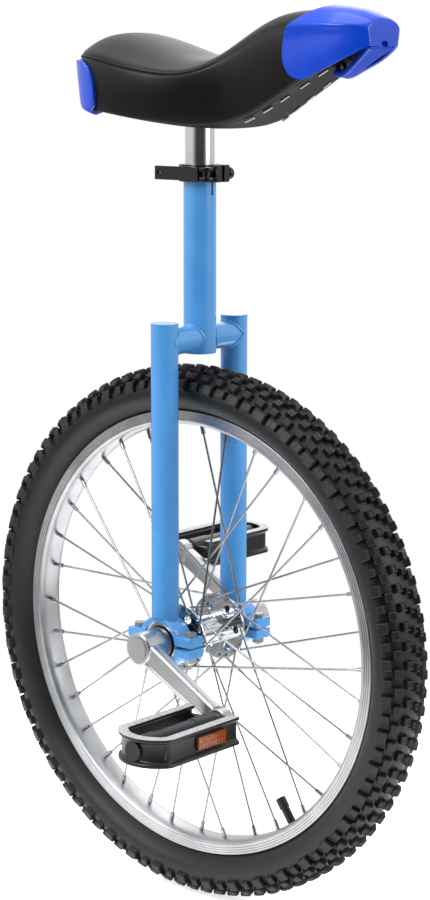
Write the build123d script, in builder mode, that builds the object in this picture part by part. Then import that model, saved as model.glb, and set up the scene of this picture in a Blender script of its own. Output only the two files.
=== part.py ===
"""Twenty-inch trainer unicycle, as the separate pieces that it comes apart into on a bench.

Frame: +X forward, +Y to the rider's left, +Z up. The origin is where the tyre meets the ground,
straight under the axle. Millimetres throughout.
"""

import os
from math import cos, radians, sin

from build123d import *

os.makedirs("parts", exist_ok=True)

SIDES = {"right": -1, "left": 1}

# Fits shared by every pair of pieces
FIT = 0.05              # radial play of a turning or sliding fit
SEATED = 0.02           # radial play of a piece that is seated and doesn't move
SOFT_GAP = 0.3          # gap between a soft piece and what it rests against

# Wheel
TYRE_RADIUS = 257.0
TYRE_HALF_WIDTH = 27.0
TYRE_SIDEWALL = 3.5
TREAD_THICKNESS = 6.5
RIM_RADIUS = 214.0
RIM_HALF_WIDTH = 13.8
RIM_WALL = 1.6
RIM_INNER_RADIUS = 199.6
BEAD_SEAT_RADIUS = 203.0
WELL_HALF_WIDTH = 8.0
TAPE_THICKNESS = 0.8
TUBE_WALL = 1.2
SPOKES_PER_SIDE = 18
CROSSINGS = 3
SPOKE_RADIUS = 1.0
RIM_HOLE_OFFSET = 2.5
NIPPLE_RADIUS = 2.0
NIPPLE_LENGTH = 9.0
VALVE_ANGLE = -55.0     # degrees from +X, midway between two spoke holes
VALVE_RADIUS = 4.0
VALVE_TIP_RADIUS = 174.3
CAP_LENGTH = 11.0

# Hub, bearings and cranks
FLANGE_OFFSET = 28.0
FLANGE_RADIUS = 32.0
FLANGE_THICKNESS = 2.6
SPOKE_CIRCLE_RADIUS = 29.0
HUB_BARREL_RADIUS = 15.0
BEARING_OFFSET = 48.75
BEARING_BORE_RADIUS = 8.5
BEARING_RADIUS = 20.0
BEARING_WIDTH = 12.0
BALL_COUNT = 8
BALL_RADIUS = 3.37
CRANK_LENGTH = 114.0
CRANK_ANGLE = -24.0     # right crank, degrees from +X towards +Z
CRANK_THICKNESS = 12.0
CRANK_SPREAD = 9.0      # how far the pedal end stands outside the axle end
BOSS_RADIUS = 15.0
BOSS_INNER_Y = 55.5
BOSS_OUTER_Y = 87.0
EYE_RADIUS = 12.5
AXLE_SQUARE = 12.7
AXLE_END_Y = 79.0

# Pedals
PEDAL_WIDTH = 62.0
PEDAL_THICKNESS = 26.0
PEDAL_INNER_Y = 100.0
PEDAL_OUTER_Y = 207.0
PEDAL_RAIL = 9.0
PEDAL_SPINDLE_RADIUS = 4.5
PEDAL_BALL_RADIUS = 1.98

# Frame
LEG_RADIUS = 12.7
TUBE_THICKNESS = 1.5
CROWN_CLEARANCE = 25.0  # from the tyre's top to the centre line of the crown
LEG_ABOVE_CROWN = 17.7
SEAT_TUBE_RADIUS = 15.2
SEAT_TUBE_BELOW_CROWN = 14.0
SEAT_TUBE_ABOVE_CROWN = 160.0
HOLDER_WALL = 5.0
HOLDER_WIDTH = 20.0
HOLDER_GAP = 1.5
EAR_THICKNESS = 9.0
EAR_REACH = 38.5
EAR_BOLT_X = 31.5
BOLT_RADIUS = 3.0

# Seat clamp
COLLAR_HEIGHT = 15.5
COLLAR_WALL = 4.2
SKEWER_X = 23.5
SKEWER_RADIUS = 2.5
LUG_OUTER_Y = 9.0
CAM_RADIUS = 6.6
LEVER_REACH = 56.5

# Seatpost and saddle
POST_RADIUS = 13.6
POST_LENGTH = 180.0
POST_SHOWING = 39.5     # how far the post's top stands above the seat tube
PLATE_THICKNESS = 3.0
PLATE_CENTRE_X = 10.0
PLATE_BOLT_SPACING = (56.0, 22.0)
BASE_INSET = 6.0
BASE_WALL = 3.0
BASE_DEPTH = 11.0
BUMPER_WALL = 4.0

AXLE_Z = TYRE_RADIUS
CROWN_Z = AXLE_Z + TYRE_RADIUS + CROWN_CLEARANCE
LEG_TOP_Z = CROWN_Z + LEG_ABOVE_CROWN
SEAT_TUBE_BOTTOM_Z = CROWN_Z - SEAT_TUBE_BELOW_CROWN
SEAT_TUBE_TOP_Z = CROWN_Z + SEAT_TUBE_ABOVE_CROWN
POST_TOP_Z = SEAT_TUBE_TOP_Z + POST_SHOWING
WHEEL_AXIS = Axis((0, 0, AXLE_Z), (0, 1, 0))
WHEEL_SECTION = Plane(origin=(0, 0, AXLE_Z), x_dir=(0, 1, 0), z_dir=(1, 0, 0))
SPOKE_STEP = 360 / SPOKES_PER_SIDE


def side_plane(y, z_origin=AXLE_Z):
    """The plane square to the axle at the given Y, with local x forward and local y up."""
    return Plane(origin=(0, y, z_origin), x_dir=(1, 0, 0), z_dir=(0, -1, 0))


def on_wheel(radius, angle, y):
    """The point of the wheel at a radius, an angle from +X towards +Z, and a Y."""
    return Vector(radius * cos(radians(angle)), y, AXLE_Z + radius * sin(radians(angle)))


# ---------------------------------------------------------------- wheel: tyre, tube and rim

BEAD_Y = RIM_HALF_WIDTH - RIM_WALL - 0.1
BEAD_INNER_Y = BEAD_Y - 2.6
BEAD_R = BEAD_SEAT_RADIUS + 0.1
SHOULDER_Y = 0.75 * TYRE_HALF_WIDTH
SHOULDER_R = TYRE_RADIUS - 6
BELLY_R = (RIM_RADIUS + SHOULDER_R) / 2
CAVITY_SHOULDER_Y = SHOULDER_Y - TYRE_SIDEWALL + 0.5
CAVITY_SHOULDER_R = SHOULDER_R - 5
CAVITY_TOP_R = TYRE_RADIUS - TREAD_THICKNESS
CAVITY_START_R = RIM_RADIUS + 5
CAVITY_HALF_WIDTH = TYRE_HALF_WIDTH - TYRE_SIDEWALL

with BuildPart() as tyre:
    with BuildSketch(WHEEL_SECTION):
        with BuildLine():
            Line((BEAD_INNER_Y, BEAD_R), (BEAD_Y, BEAD_R))
            Line((BEAD_Y, BEAD_R), (BEAD_Y, RIM_RADIUS + 1))
            ThreePointArc((BEAD_Y, RIM_RADIUS + 1), (TYRE_HALF_WIDTH, BELLY_R), (SHOULDER_Y, SHOULDER_R))
            ThreePointArc((SHOULDER_Y, SHOULDER_R), (0, TYRE_RADIUS), (-SHOULDER_Y, SHOULDER_R))
            ThreePointArc((-SHOULDER_Y, SHOULDER_R), (-TYRE_HALF_WIDTH, BELLY_R), (-BEAD_Y, RIM_RADIUS + 1))
            Line((-BEAD_Y, RIM_RADIUS + 1), (-BEAD_Y, BEAD_R))
            Line((-BEAD_Y, BEAD_R), (-BEAD_INNER_Y, BEAD_R))
            Line((-BEAD_INNER_Y, BEAD_R), (-BEAD_INNER_Y, CAVITY_START_R))
            ThreePointArc((-BEAD_INNER_Y, CAVITY_START_R), (-CAVITY_HALF_WIDTH, BELLY_R),
                          (-CAVITY_SHOULDER_Y, CAVITY_SHOULDER_R))
            ThreePointArc((-CAVITY_SHOULDER_Y, CAVITY_SHOULDER_R), (0, CAVITY_TOP_R),
                          (CAVITY_SHOULDER_Y, CAVITY_SHOULDER_R))
            ThreePointArc((CAVITY_SHOULDER_Y, CAVITY_SHOULDER_R), (CAVITY_HALF_WIDTH, BELLY_R),
                          (BEAD_INNER_Y, CAVITY_START_R))
            Line((BEAD_INNER_Y, CAVITY_START_R), (BEAD_INNER_Y, BEAD_R))
        make_face()
    revolve(axis=WHEEL_AXIS)
tyre.part.label = "tyre"
export_step(tyre.part, "parts/tyre.step")

TAPE_R = BEAD_SEAT_RADIUS + 0.15
TAPE_HALF_WIDTH = BEAD_INNER_Y - 0.6
TUBE_BOTTOM_R = TAPE_R + TAPE_THICKNESS
VALVE_DIRECTION = (cos(radians(VALVE_ANGLE)), 0, sin(radians(VALVE_ANGLE)))


def valve_plane(radius):
    """The plane square to the valve at a radius, facing away from the hub."""
    return Plane(origin=on_wheel(radius, VALVE_ANGLE, 0), x_dir=(0, 1, 0), z_dir=VALVE_DIRECTION)


with BuildPart() as inner_tube:
    with BuildSketch(WHEEL_SECTION):
        with BuildLine():
            Line((-BEAD_INNER_Y, TUBE_BOTTOM_R), (BEAD_INNER_Y, TUBE_BOTTOM_R))
            Line((BEAD_INNER_Y, TUBE_BOTTOM_R), (BEAD_INNER_Y, CAVITY_START_R))
            ThreePointArc((BEAD_INNER_Y, CAVITY_START_R), (CAVITY_HALF_WIDTH, BELLY_R),
                          (CAVITY_SHOULDER_Y, CAVITY_SHOULDER_R))
            ThreePointArc((CAVITY_SHOULDER_Y, CAVITY_SHOULDER_R), (0, CAVITY_TOP_R),
                          (-CAVITY_SHOULDER_Y, CAVITY_SHOULDER_R))
            ThreePointArc((-CAVITY_SHOULDER_Y, CAVITY_SHOULDER_R), (-CAVITY_HALF_WIDTH, BELLY_R),
                          (-BEAD_INNER_Y, CAVITY_START_R))
            Line((-BEAD_INNER_Y, CAVITY_START_R), (-BEAD_INNER_Y, TUBE_BOTTOM_R))
        make_face()
        offset(amount=-SOFT_GAP, mode=Mode.REPLACE)
        offset(amount=-TUBE_WALL, mode=Mode.SUBTRACT)
    revolve(axis=WHEEL_AXIS)
    with BuildSketch(valve_plane(TUBE_BOTTOM_R - 1)):
        Circle(VALVE_RADIUS + SEATED)
    extrude(amount=TUBE_WALL + 2, mode=Mode.SUBTRACT)
inner_tube.part.label = "inner_tube"
export_step(inner_tube.part, "parts/inner_tube.step")

with BuildPart() as rim_tape:
    with BuildSketch(WHEEL_SECTION):
        with Locations((0, TAPE_R + TAPE_THICKNESS / 2)):
            Rectangle(2 * TAPE_HALF_WIDTH, TAPE_THICKNESS)
    revolve(axis=WHEEL_AXIS)
    with BuildSketch(valve_plane(TAPE_R - 1)):
        Circle(VALVE_RADIUS + 0.2)
    extrude(amount=TAPE_THICKNESS + 2, mode=Mode.SUBTRACT)
rim_tape.part.label = "rim_tape"
export_step(rim_tape.part, "parts/rim_tape.step")

# Spoke lacing: each flange has as many spokes as the other, half of them leading with their heads
# inside the flange and half trailing with their heads outside it.
HEAD_THICKNESS = 1.2
HEAD_RADIUS = 1.9
ELBOW_RADIUS = 1.9
LACING_TURN = CROSSINGS * SPOKE_STEP
STAND_OFF_INSIDE = FLANGE_THICKNESS / 2 + ELBOW_RADIUS + 0.05
STAND_OFF_OUTSIDE = STAND_OFF_INSIDE + 1.5      # enough for the spoke to clear the flange's rim


def spoke_line(sign, index):
    """Head end, elbow, and the point on the rim's inner face, of one spoke."""
    rim_angle = index * SPOKE_STEP + (SPOKE_STEP / 2 if sign > 0 else 0)
    lead = 1 if index % 2 == 0 else -1
    hub_angle = rim_angle - lead * LACING_TURN
    stand_off = STAND_OFF_OUTSIDE if lead > 0 else STAND_OFF_INSIDE
    elbow = on_wheel(SPOKE_CIRCLE_RADIUS, hub_angle, sign * (FLANGE_OFFSET + lead * stand_off))
    head_y = sign * (FLANGE_OFFSET - lead * (FLANGE_THICKNESS / 2 + 0.1 + HEAD_THICKNESS))
    head = on_wheel(SPOKE_CIRCLE_RADIUS, hub_angle, head_y)
    rim_point = on_wheel(RIM_INNER_RADIUS, rim_angle, sign * RIM_HOLE_OFFSET)
    return head, elbow, rim_point


BASE_R = RIM_INNER_RADIUS + 1.4     # outer face of the rim's floor, where the nipple heads rest
NIPPLE_HEAD_START = BASE_R - RIM_INNER_RADIUS + 0.6
NIPPLE_HEAD_THICKNESS = 1.0
NIPPLE_HEAD_RADIUS = 2.9

with BuildPart() as rim:
    with BuildSketch(WHEEL_SECTION):
        with BuildLine():
            inner_y = RIM_HALF_WIDTH - RIM_WALL
            Polyline(
                (-RIM_HALF_WIDTH, RIM_RADIUS), (-RIM_HALF_WIDTH, BEAD_SEAT_RADIUS + 1),
                (-RIM_HALF_WIDTH + 3.4, RIM_INNER_RADIUS), (RIM_HALF_WIDTH - 3.4, RIM_INNER_RADIUS),
                (RIM_HALF_WIDTH, BEAD_SEAT_RADIUS + 1), (RIM_HALF_WIDTH, RIM_RADIUS),
                (inner_y, RIM_RADIUS), (inner_y, BEAD_SEAT_RADIUS),
                (WELL_HALF_WIDTH, BEAD_SEAT_RADIUS), (WELL_HALF_WIDTH, BASE_R),
                (-WELL_HALF_WIDTH, BASE_R), (-WELL_HALF_WIDTH, BEAD_SEAT_RADIUS),
                (-inner_y, BEAD_SEAT_RADIUS), (-inner_y, RIM_RADIUS),
                close=True,
            )
        make_face()
    revolve(axis=WHEEL_AXIS)
    for sign in SIDES.values():
        for index in range(SPOKES_PER_SIDE):
            head, elbow, rim_point = spoke_line(sign, index)
            direction = (rim_point - elbow).normalized()
            with BuildSketch(Plane(origin=rim_point - direction * 3, z_dir=direction)):
                Circle(NIPPLE_RADIUS + 0.15)
            extrude(amount=8, mode=Mode.SUBTRACT)
    with BuildSketch(valve_plane(RIM_INNER_RADIUS - 3)):
        Circle(VALVE_RADIUS + 0.15)
    extrude(amount=8, mode=Mode.SUBTRACT)
rim.part.label = "rim"
export_step(rim.part, "parts/rim.step")

for side, sign in SIDES.items():
    with BuildPart() as spokes:
        for index in range(SPOKES_PER_SIDE):
            head, elbow, rim_point = spoke_line(sign, index)
            direction = (rim_point - elbow).normalized()
            outward = (elbow - head).normalized()
            with BuildLine() as wire:
                FilletPolyline(head, elbow, rim_point + direction * 2.5, radius=ELBOW_RADIUS)
            with BuildSketch(Plane(origin=head, z_dir=outward)):
                Circle(SPOKE_RADIUS)
            sweep(path=wire.wire())
            with BuildSketch(Plane(origin=head, z_dir=outward)):
                Circle(HEAD_RADIUS)
            extrude(amount=HEAD_THICKNESS)
    spokes.part.label = f"{side}_spokes"
    export_step(spokes.part, f"parts/{side}_spokes.step")

with BuildPart() as nipples:
    for sign in SIDES.values():
        for index in range(SPOKES_PER_SIDE):
            head, elbow, rim_point = spoke_line(sign, index)
            direction = (rim_point - elbow).normalized()
            with BuildSketch(Plane(origin=rim_point - direction * NIPPLE_LENGTH, z_dir=direction)):
                Circle(NIPPLE_RADIUS)
                Circle(SPOKE_RADIUS + SEATED, mode=Mode.SUBTRACT)
            extrude(amount=NIPPLE_LENGTH + NIPPLE_HEAD_START)
            with BuildSketch(Plane(origin=rim_point + direction * NIPPLE_HEAD_START, z_dir=direction)):
                Circle(NIPPLE_HEAD_RADIUS)
                Circle(SPOKE_RADIUS + SEATED, mode=Mode.SUBTRACT)
            extrude(amount=NIPPLE_HEAD_THICKNESS)
nipples.part.label = "nipples"
export_step(nipples.part, "parts/nipples.step")

# The rim's butt joint is opposite the valve and is backed by a riveted plate in the well, which
# also balances the valve.
SLEEVE_LENGTH = 15.5
SLEEVE_THICKNESS = 1.2
with BuildPart() as rim_joint_sleeve:
    with BuildSketch(WHEEL_SECTION):
        with Locations((0, BASE_R + SEATED + SLEEVE_THICKNESS / 2)):
            Rectangle(2 * WELL_HALF_WIDTH - 2, SLEEVE_THICKNESS)
    revolve(axis=WHEEL_AXIS)
    with BuildSketch(valve_plane(-BASE_R - 5)):
        Rectangle(2 * WELL_HALF_WIDTH, SLEEVE_LENGTH)
    extrude(amount=10, mode=Mode.INTERSECT)
rim_joint_sleeve.part.label = "rim_joint_sleeve"
export_step(rim_joint_sleeve.part, "parts/rim_joint_sleeve.step")

VALVE_FOOT_R = TUBE_BOTTOM_R + SOFT_GAP + TUBE_WALL + 0.1
CAP_OPEN_R = VALVE_TIP_RADIUS + CAP_LENGTH
THREAD_RADIUS = VALVE_RADIUS - 0.2
with BuildPart() as valve_stem:
    with BuildSketch(valve_plane(CAP_OPEN_R + 0.5)):
        Circle(VALVE_RADIUS)
    extrude(amount=VALVE_FOOT_R - CAP_OPEN_R - 0.5)
    with BuildSketch(valve_plane(VALVE_FOOT_R)):
        Circle(VALVE_RADIUS + 3)
    extrude(amount=1)
    with BuildSketch(valve_plane(VALVE_TIP_RADIUS + 1.6)):
        Circle(THREAD_RADIUS)
    extrude(amount=CAP_LENGTH)
valve_stem.part.label = "valve_stem"
export_step(valve_stem.part, "parts/valve_stem.step")

with BuildPart() as valve_cap:
    with BuildSketch(valve_plane(VALVE_TIP_RADIUS)):
        Circle(VALVE_RADIUS + 0.8)
    extrude(amount=CAP_LENGTH)
    chamfer(valve_cap.edges().filter_by(GeomType.CIRCLE).sort_by_distance((0, 0, AXLE_Z))[0], length=1)
    with BuildSketch(valve_plane(VALVE_TIP_RADIUS + 1.2)):
        Circle(THREAD_RADIUS + FIT)
    extrude(amount=CAP_LENGTH, mode=Mode.SUBTRACT)
valve_cap.part.label = "valve_cap"
export_step(valve_cap.part, "parts/valve_cap.step")

# ---------------------------------------------------------------- wheel: hub and bearings

BEARING_INNER_Y = BEARING_OFFSET - BEARING_WIDTH / 2
BEARING_OUTER_Y = BEARING_OFFSET + BEARING_WIDTH / 2
SHOULDER_RADIUS = BEARING_BORE_RADIUS + 3
AXLE_ROUND_RADIUS = BEARING_BORE_RADIUS - SEATED
CRANK_BOLT_RADIUS = 4.0
FLANGE_HOLE_COUNT = 6
FLANGE_HOLE_RADIUS = 4.0
BOLT_DEPTH = 18.0

with BuildPart() as hub:
    for radius, half_length in (
        (AXLE_ROUND_RADIUS, BOSS_INNER_Y - 0.1),
        (SHOULDER_RADIUS, BEARING_INNER_Y),
        (FLANGE_RADIUS, FLANGE_OFFSET + FLANGE_THICKNESS / 2),
    ):
        with BuildSketch(side_plane(0)):
            Circle(radius)
        extrude(amount=half_length, both=True)
    with BuildSketch(side_plane(0)):
        Circle(FLANGE_RADIUS + 1)
        Circle(HUB_BARREL_RADIUS, mode=Mode.SUBTRACT)
    extrude(amount=FLANGE_OFFSET - FLANGE_THICKNESS / 2, both=True, mode=Mode.SUBTRACT)
    for sign in SIDES.values():
        with BuildSketch(side_plane(FLANGE_OFFSET * sign)):
            for index in range(SPOKES_PER_SIDE):
                elbow = spoke_line(sign, index)[1]
                with Locations((elbow.X, elbow.Z - AXLE_Z)):
                    Circle(SPOKE_RADIUS + 0.35)
            with PolarLocations((HUB_BARREL_RADIUS + SPOKE_CIRCLE_RADIUS) / 2 - 0.5, FLANGE_HOLE_COUNT):
                Circle(FLANGE_HOLE_RADIUS)
        extrude(amount=FLANGE_THICKNESS, both=True, mode=Mode.SUBTRACT)
        with BuildSketch(side_plane(sign * (BOSS_INNER_Y - 0.2))):
            Rectangle(AXLE_SQUARE, AXLE_SQUARE, rotation=CRANK_ANGLE)
            Circle(AXLE_ROUND_RADIUS, mode=Mode.INTERSECT)
        extrude(amount=-sign * (AXLE_END_Y - BOSS_INNER_Y + 0.2))
        with BuildSketch(side_plane(sign * AXLE_END_Y)):
            Circle(CRANK_BOLT_RADIUS + SEATED)
        extrude(amount=sign * BOLT_DEPTH, mode=Mode.SUBTRACT)
hub.part.label = "hub"
export_step(hub.part, "parts/hub.step")

PITCH_RADIUS = (BEARING_BORE_RADIUS + BEARING_RADIUS) / 2
RACE_GAP = 2.45         # from the pitch circle to either race
INNER_RACE_RADIUS = PITCH_RADIUS - RACE_GAP
OUTER_RACE_RADIUS = PITCH_RADIUS + RACE_GAP
CAGE_WIDTH = 9.0
CAGE_HALF_THICKNESS = 1.0
GROOVE_RADIUS = BALL_RADIUS + 0.03
SEAL_DEPTH = 0.55


def ring_section(y, width, r_inner, r_outer):
    """A rectangle of the wheel's section, which revolves into a ring about the axle."""
    with Locations((y, (r_inner + r_outer) / 2)):
        Rectangle(width, r_outer - r_inner)


for label, r_inner, r_outer in (
    ("bearing_inner_races", BEARING_BORE_RADIUS, INNER_RACE_RADIUS),
    ("bearing_outer_races", OUTER_RACE_RADIUS, BEARING_RADIUS),
):
    with BuildPart() as races:
        with BuildSketch(WHEEL_SECTION):
            for sign in SIDES.values():
                ring_section(sign * BEARING_OFFSET, BEARING_WIDTH, r_inner, r_outer)
            with Locations((BEARING_OFFSET, PITCH_RADIUS), (-BEARING_OFFSET, PITCH_RADIUS)):
                Circle(GROOVE_RADIUS, mode=Mode.SUBTRACT)
        revolve(axis=WHEEL_AXIS)
    races.part.label = label
    export_step(races.part, f"parts/{label}.step")

with BuildPart() as bearing_seals:
    with BuildSketch(WHEEL_SECTION):
        for sign in SIDES.values():
            for face in (-1, 1):
                seal_y = sign * BEARING_OFFSET + face * (BEARING_WIDTH / 2 - SEAL_DEPTH / 2 - 0.05)
                ring_section(seal_y, SEAL_DEPTH, INNER_RACE_RADIUS + 0.25, OUTER_RACE_RADIUS - SEATED)
    revolve(axis=WHEEL_AXIS)
bearing_seals.part.label = "bearing_seals"
export_step(bearing_seals.part, "parts/bearing_seals.step")

for side, sign in SIDES.items():
    with BuildPart() as balls:
        with Locations(side_plane(sign * BEARING_OFFSET)):
            with PolarLocations(PITCH_RADIUS, BALL_COUNT):
                Sphere(BALL_RADIUS)
    balls.part.label = f"{side}_bearing_balls"
    export_step(balls.part, f"parts/{side}_bearing_balls.step")

    with BuildPart() as cage:
        with BuildSketch(WHEEL_SECTION):
            ring_section(sign * BEARING_OFFSET, CAGE_WIDTH, PITCH_RADIUS - CAGE_HALF_THICKNESS,
                         PITCH_RADIUS + CAGE_HALF_THICKNESS)
        revolve(axis=WHEEL_AXIS)
        for index in range(BALL_COUNT):
            angle = index * 360 / BALL_COUNT
            pocket = on_wheel(PITCH_RADIUS - CAGE_HALF_THICKNESS - 1, angle, sign * BEARING_OFFSET)
            outward = on_wheel(1, angle, 0) - on_wheel(0, angle, 0)
            with BuildSketch(Plane(origin=pocket, z_dir=outward)):
                Circle(BALL_RADIUS + FIT)
            extrude(amount=2 * CAGE_HALF_THICKNESS + 2, mode=Mode.SUBTRACT)
    cage.part.label = f"{side}_bearing_cage"
    export_step(cage.part, f"parts/{side}_bearing_cage.step")

# ---------------------------------------------------------------- cranks

ARM_OUTER_Y = BOSS_OUTER_Y
ARM_INNER_Y = ARM_OUTER_Y - CRANK_THICKNESS
EYE_OUTER_Y = ARM_OUTER_Y + CRANK_SPREAD
EYE_INNER_Y = ARM_INNER_Y + CRANK_SPREAD
ARM_ROOT_RADIUS = BOSS_RADIUS - 3.5
ARM_TIP_RADIUS = EYE_RADIUS - 2.5
SPINDLE_THREAD_RADIUS = 7.0
CAP_RADIUS = 11.0


def crank_plane(sign, y):
    """Square to the axle at distance y, with local x along the crank and facing the rider's side."""
    turn = CRANK_ANGLE if sign < 0 else CRANK_ANGLE + 180
    along = (cos(radians(turn)), 0, sin(radians(turn)))
    return Plane(origin=(0, sign * y, AXLE_Z), x_dir=along, z_dir=(0, sign, 0))


for side, sign in SIDES.items():
    with BuildPart() as crank:
        with BuildSketch(crank_plane(sign, 0)):
            Circle(BOSS_RADIUS)
            with BuildSketch(mode=Mode.PRIVATE) as arm_outline:
                Circle(ARM_ROOT_RADIUS)
                with Locations((CRANK_LENGTH, 0)):
                    Circle(ARM_TIP_RADIUS)
                make_hull()
            add(arm_outline.sketch)
            with Locations((CRANK_LENGTH, 0)):
                Circle(EYE_RADIUS)
        extrude(amount=EYE_OUTER_Y + 5)
        face = crank_plane(sign, 0)
        with BuildSketch(Plane(origin=face.origin, x_dir=face.x_dir, z_dir=-face.y_dir)):
            with BuildLine():
                end_x = CRANK_LENGTH + EYE_RADIUS + 1
                eye_x = CRANK_LENGTH - EYE_RADIUS
                Polyline(
                    (-BOSS_RADIUS - 1, BOSS_INNER_Y), (BOSS_RADIUS, BOSS_INNER_Y), (BOSS_RADIUS, ARM_INNER_Y),
                    (eye_x, EYE_INNER_Y), (end_x, EYE_INNER_Y), (end_x, EYE_OUTER_Y), (eye_x, EYE_OUTER_Y),
                    (BOSS_RADIUS - 2, ARM_OUTER_Y), (-BOSS_RADIUS - 1, ARM_OUTER_Y), close=True,
                )
            make_face()
        extrude(amount=BOSS_RADIUS + 5, both=True, mode=Mode.INTERSECT)
        with BuildSketch(crank_plane(sign, BOSS_INNER_Y - 1)):
            Rectangle(AXLE_SQUARE + 2 * SEATED, AXLE_SQUARE + 2 * SEATED)
            Circle(AXLE_ROUND_RADIUS + SEATED, mode=Mode.INTERSECT)
        extrude(amount=AXLE_END_Y - BOSS_INNER_Y + 1.5, mode=Mode.SUBTRACT)
        with BuildSketch(crank_plane(sign, AXLE_END_Y + 0.4)):
            Circle(CAP_RADIUS + SEATED)
        extrude(amount=ARM_OUTER_Y, mode=Mode.SUBTRACT)
        with BuildSketch(crank_plane(sign, ARM_INNER_Y)):
            with Locations((CRANK_LENGTH, 0)):
                Circle(SPINDLE_THREAD_RADIUS + SEATED)
        extrude(amount=ARM_OUTER_Y, mode=Mode.SUBTRACT)
    crank.part.label = f"{side}_crank"
    export_step(crank.part, f"parts/{side}_crank.step")

with BuildPart() as crank_bolts:
    for sign in SIDES.values():
        with BuildSketch(crank_plane(sign, AXLE_END_Y + 0.45)):
            RegularPolygon(radius=7, side_count=6, major_radius=False)
        extrude(amount=5)
        with BuildSketch(crank_plane(sign, AXLE_END_Y - 16)):
            Circle(CRANK_BOLT_RADIUS)
        extrude(amount=17)
crank_bolts.part.label = "crank_bolts"
export_step(crank_bolts.part, "parts/crank_bolts.step")

with BuildPart() as dust_caps:
    for sign in SIDES.values():
        with BuildSketch(crank_plane(sign, ARM_OUTER_Y - 1.8)):
            Circle(CAP_RADIUS)
        extrude(amount=3.2)
    chamfer(dust_caps.edges().filter_by(GeomType.CIRCLE).group_by(Axis.Y)[0], length=0.8)
    chamfer(dust_caps.edges().filter_by(GeomType.CIRCLE).group_by(Axis.Y)[-1], length=0.8)
dust_caps.part.label = "dust_caps"
export_step(dust_caps.part, "parts/dust_caps.step")

# ---------------------------------------------------------------- pedals

SPINDLE_END_Y = PEDAL_OUTER_Y - 12
BARREL_RADIUS = 11.0
CUP_RADIUS = 8.6
INNER_CUP_Y = PEDAL_INNER_Y + 5
OUTER_CUP_Y = SPINDLE_END_Y - 9
BALL_CIRCLE_RADIUS = PEDAL_SPINDLE_RADIUS + PEDAL_BALL_RADIUS + 0.03
PEDAL_BALLS = 9
SLOT_HALF_WIDTH = PEDAL_WIDTH / 2 - PEDAL_RAIL
REFLECTOR_SIZE = (36.0, 11.0)
REFLECTOR_Y = PEDAL_INNER_Y + 36
REFLECTOR_DEPTH = 3.0
REFLECTOR_SINK = 0.5
PEDAL_WEB = 5.0
CORNER_DEPTH = 16.0     # how far the pedal's corners stand back from the middle of its outer end
SLOT_END = 13.0
SLOT_SETBACK = 6.0
SPANNER_FLAT = 14.4


def pedal_plane(sign, y):
    """Square to the pedal spindle at distance y, level, facing away from the crank."""
    centre = crank_plane(sign, y).from_local_coords((CRANK_LENGTH, 0, 0))
    return Plane(origin=centre, x_dir=(1, 0, 0), z_dir=(0, sign, 0))


def pedal_level(sign, height):
    """The level plane at a height above the pedal's spindle, with local y pointing outwards."""
    centre = crank_plane(sign, 0).from_local_coords((CRANK_LENGTH, 0, 0))
    return Plane(origin=centre + Vector(0, 0, height), x_dir=(sign, 0, 0), z_dir=(0, 0, 1))


def reflector_plane(sign, face, reach):
    """The plane of a pedal's front (face 1) or rear (face -1) reflector, looking into the pedal."""
    centre = pedal_plane(sign, REFLECTOR_Y).origin + Vector(face * reach, 0, 0)
    return Plane(origin=centre, x_dir=(0, 1, 0), z_dir=(-face, 0, 0))


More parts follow.
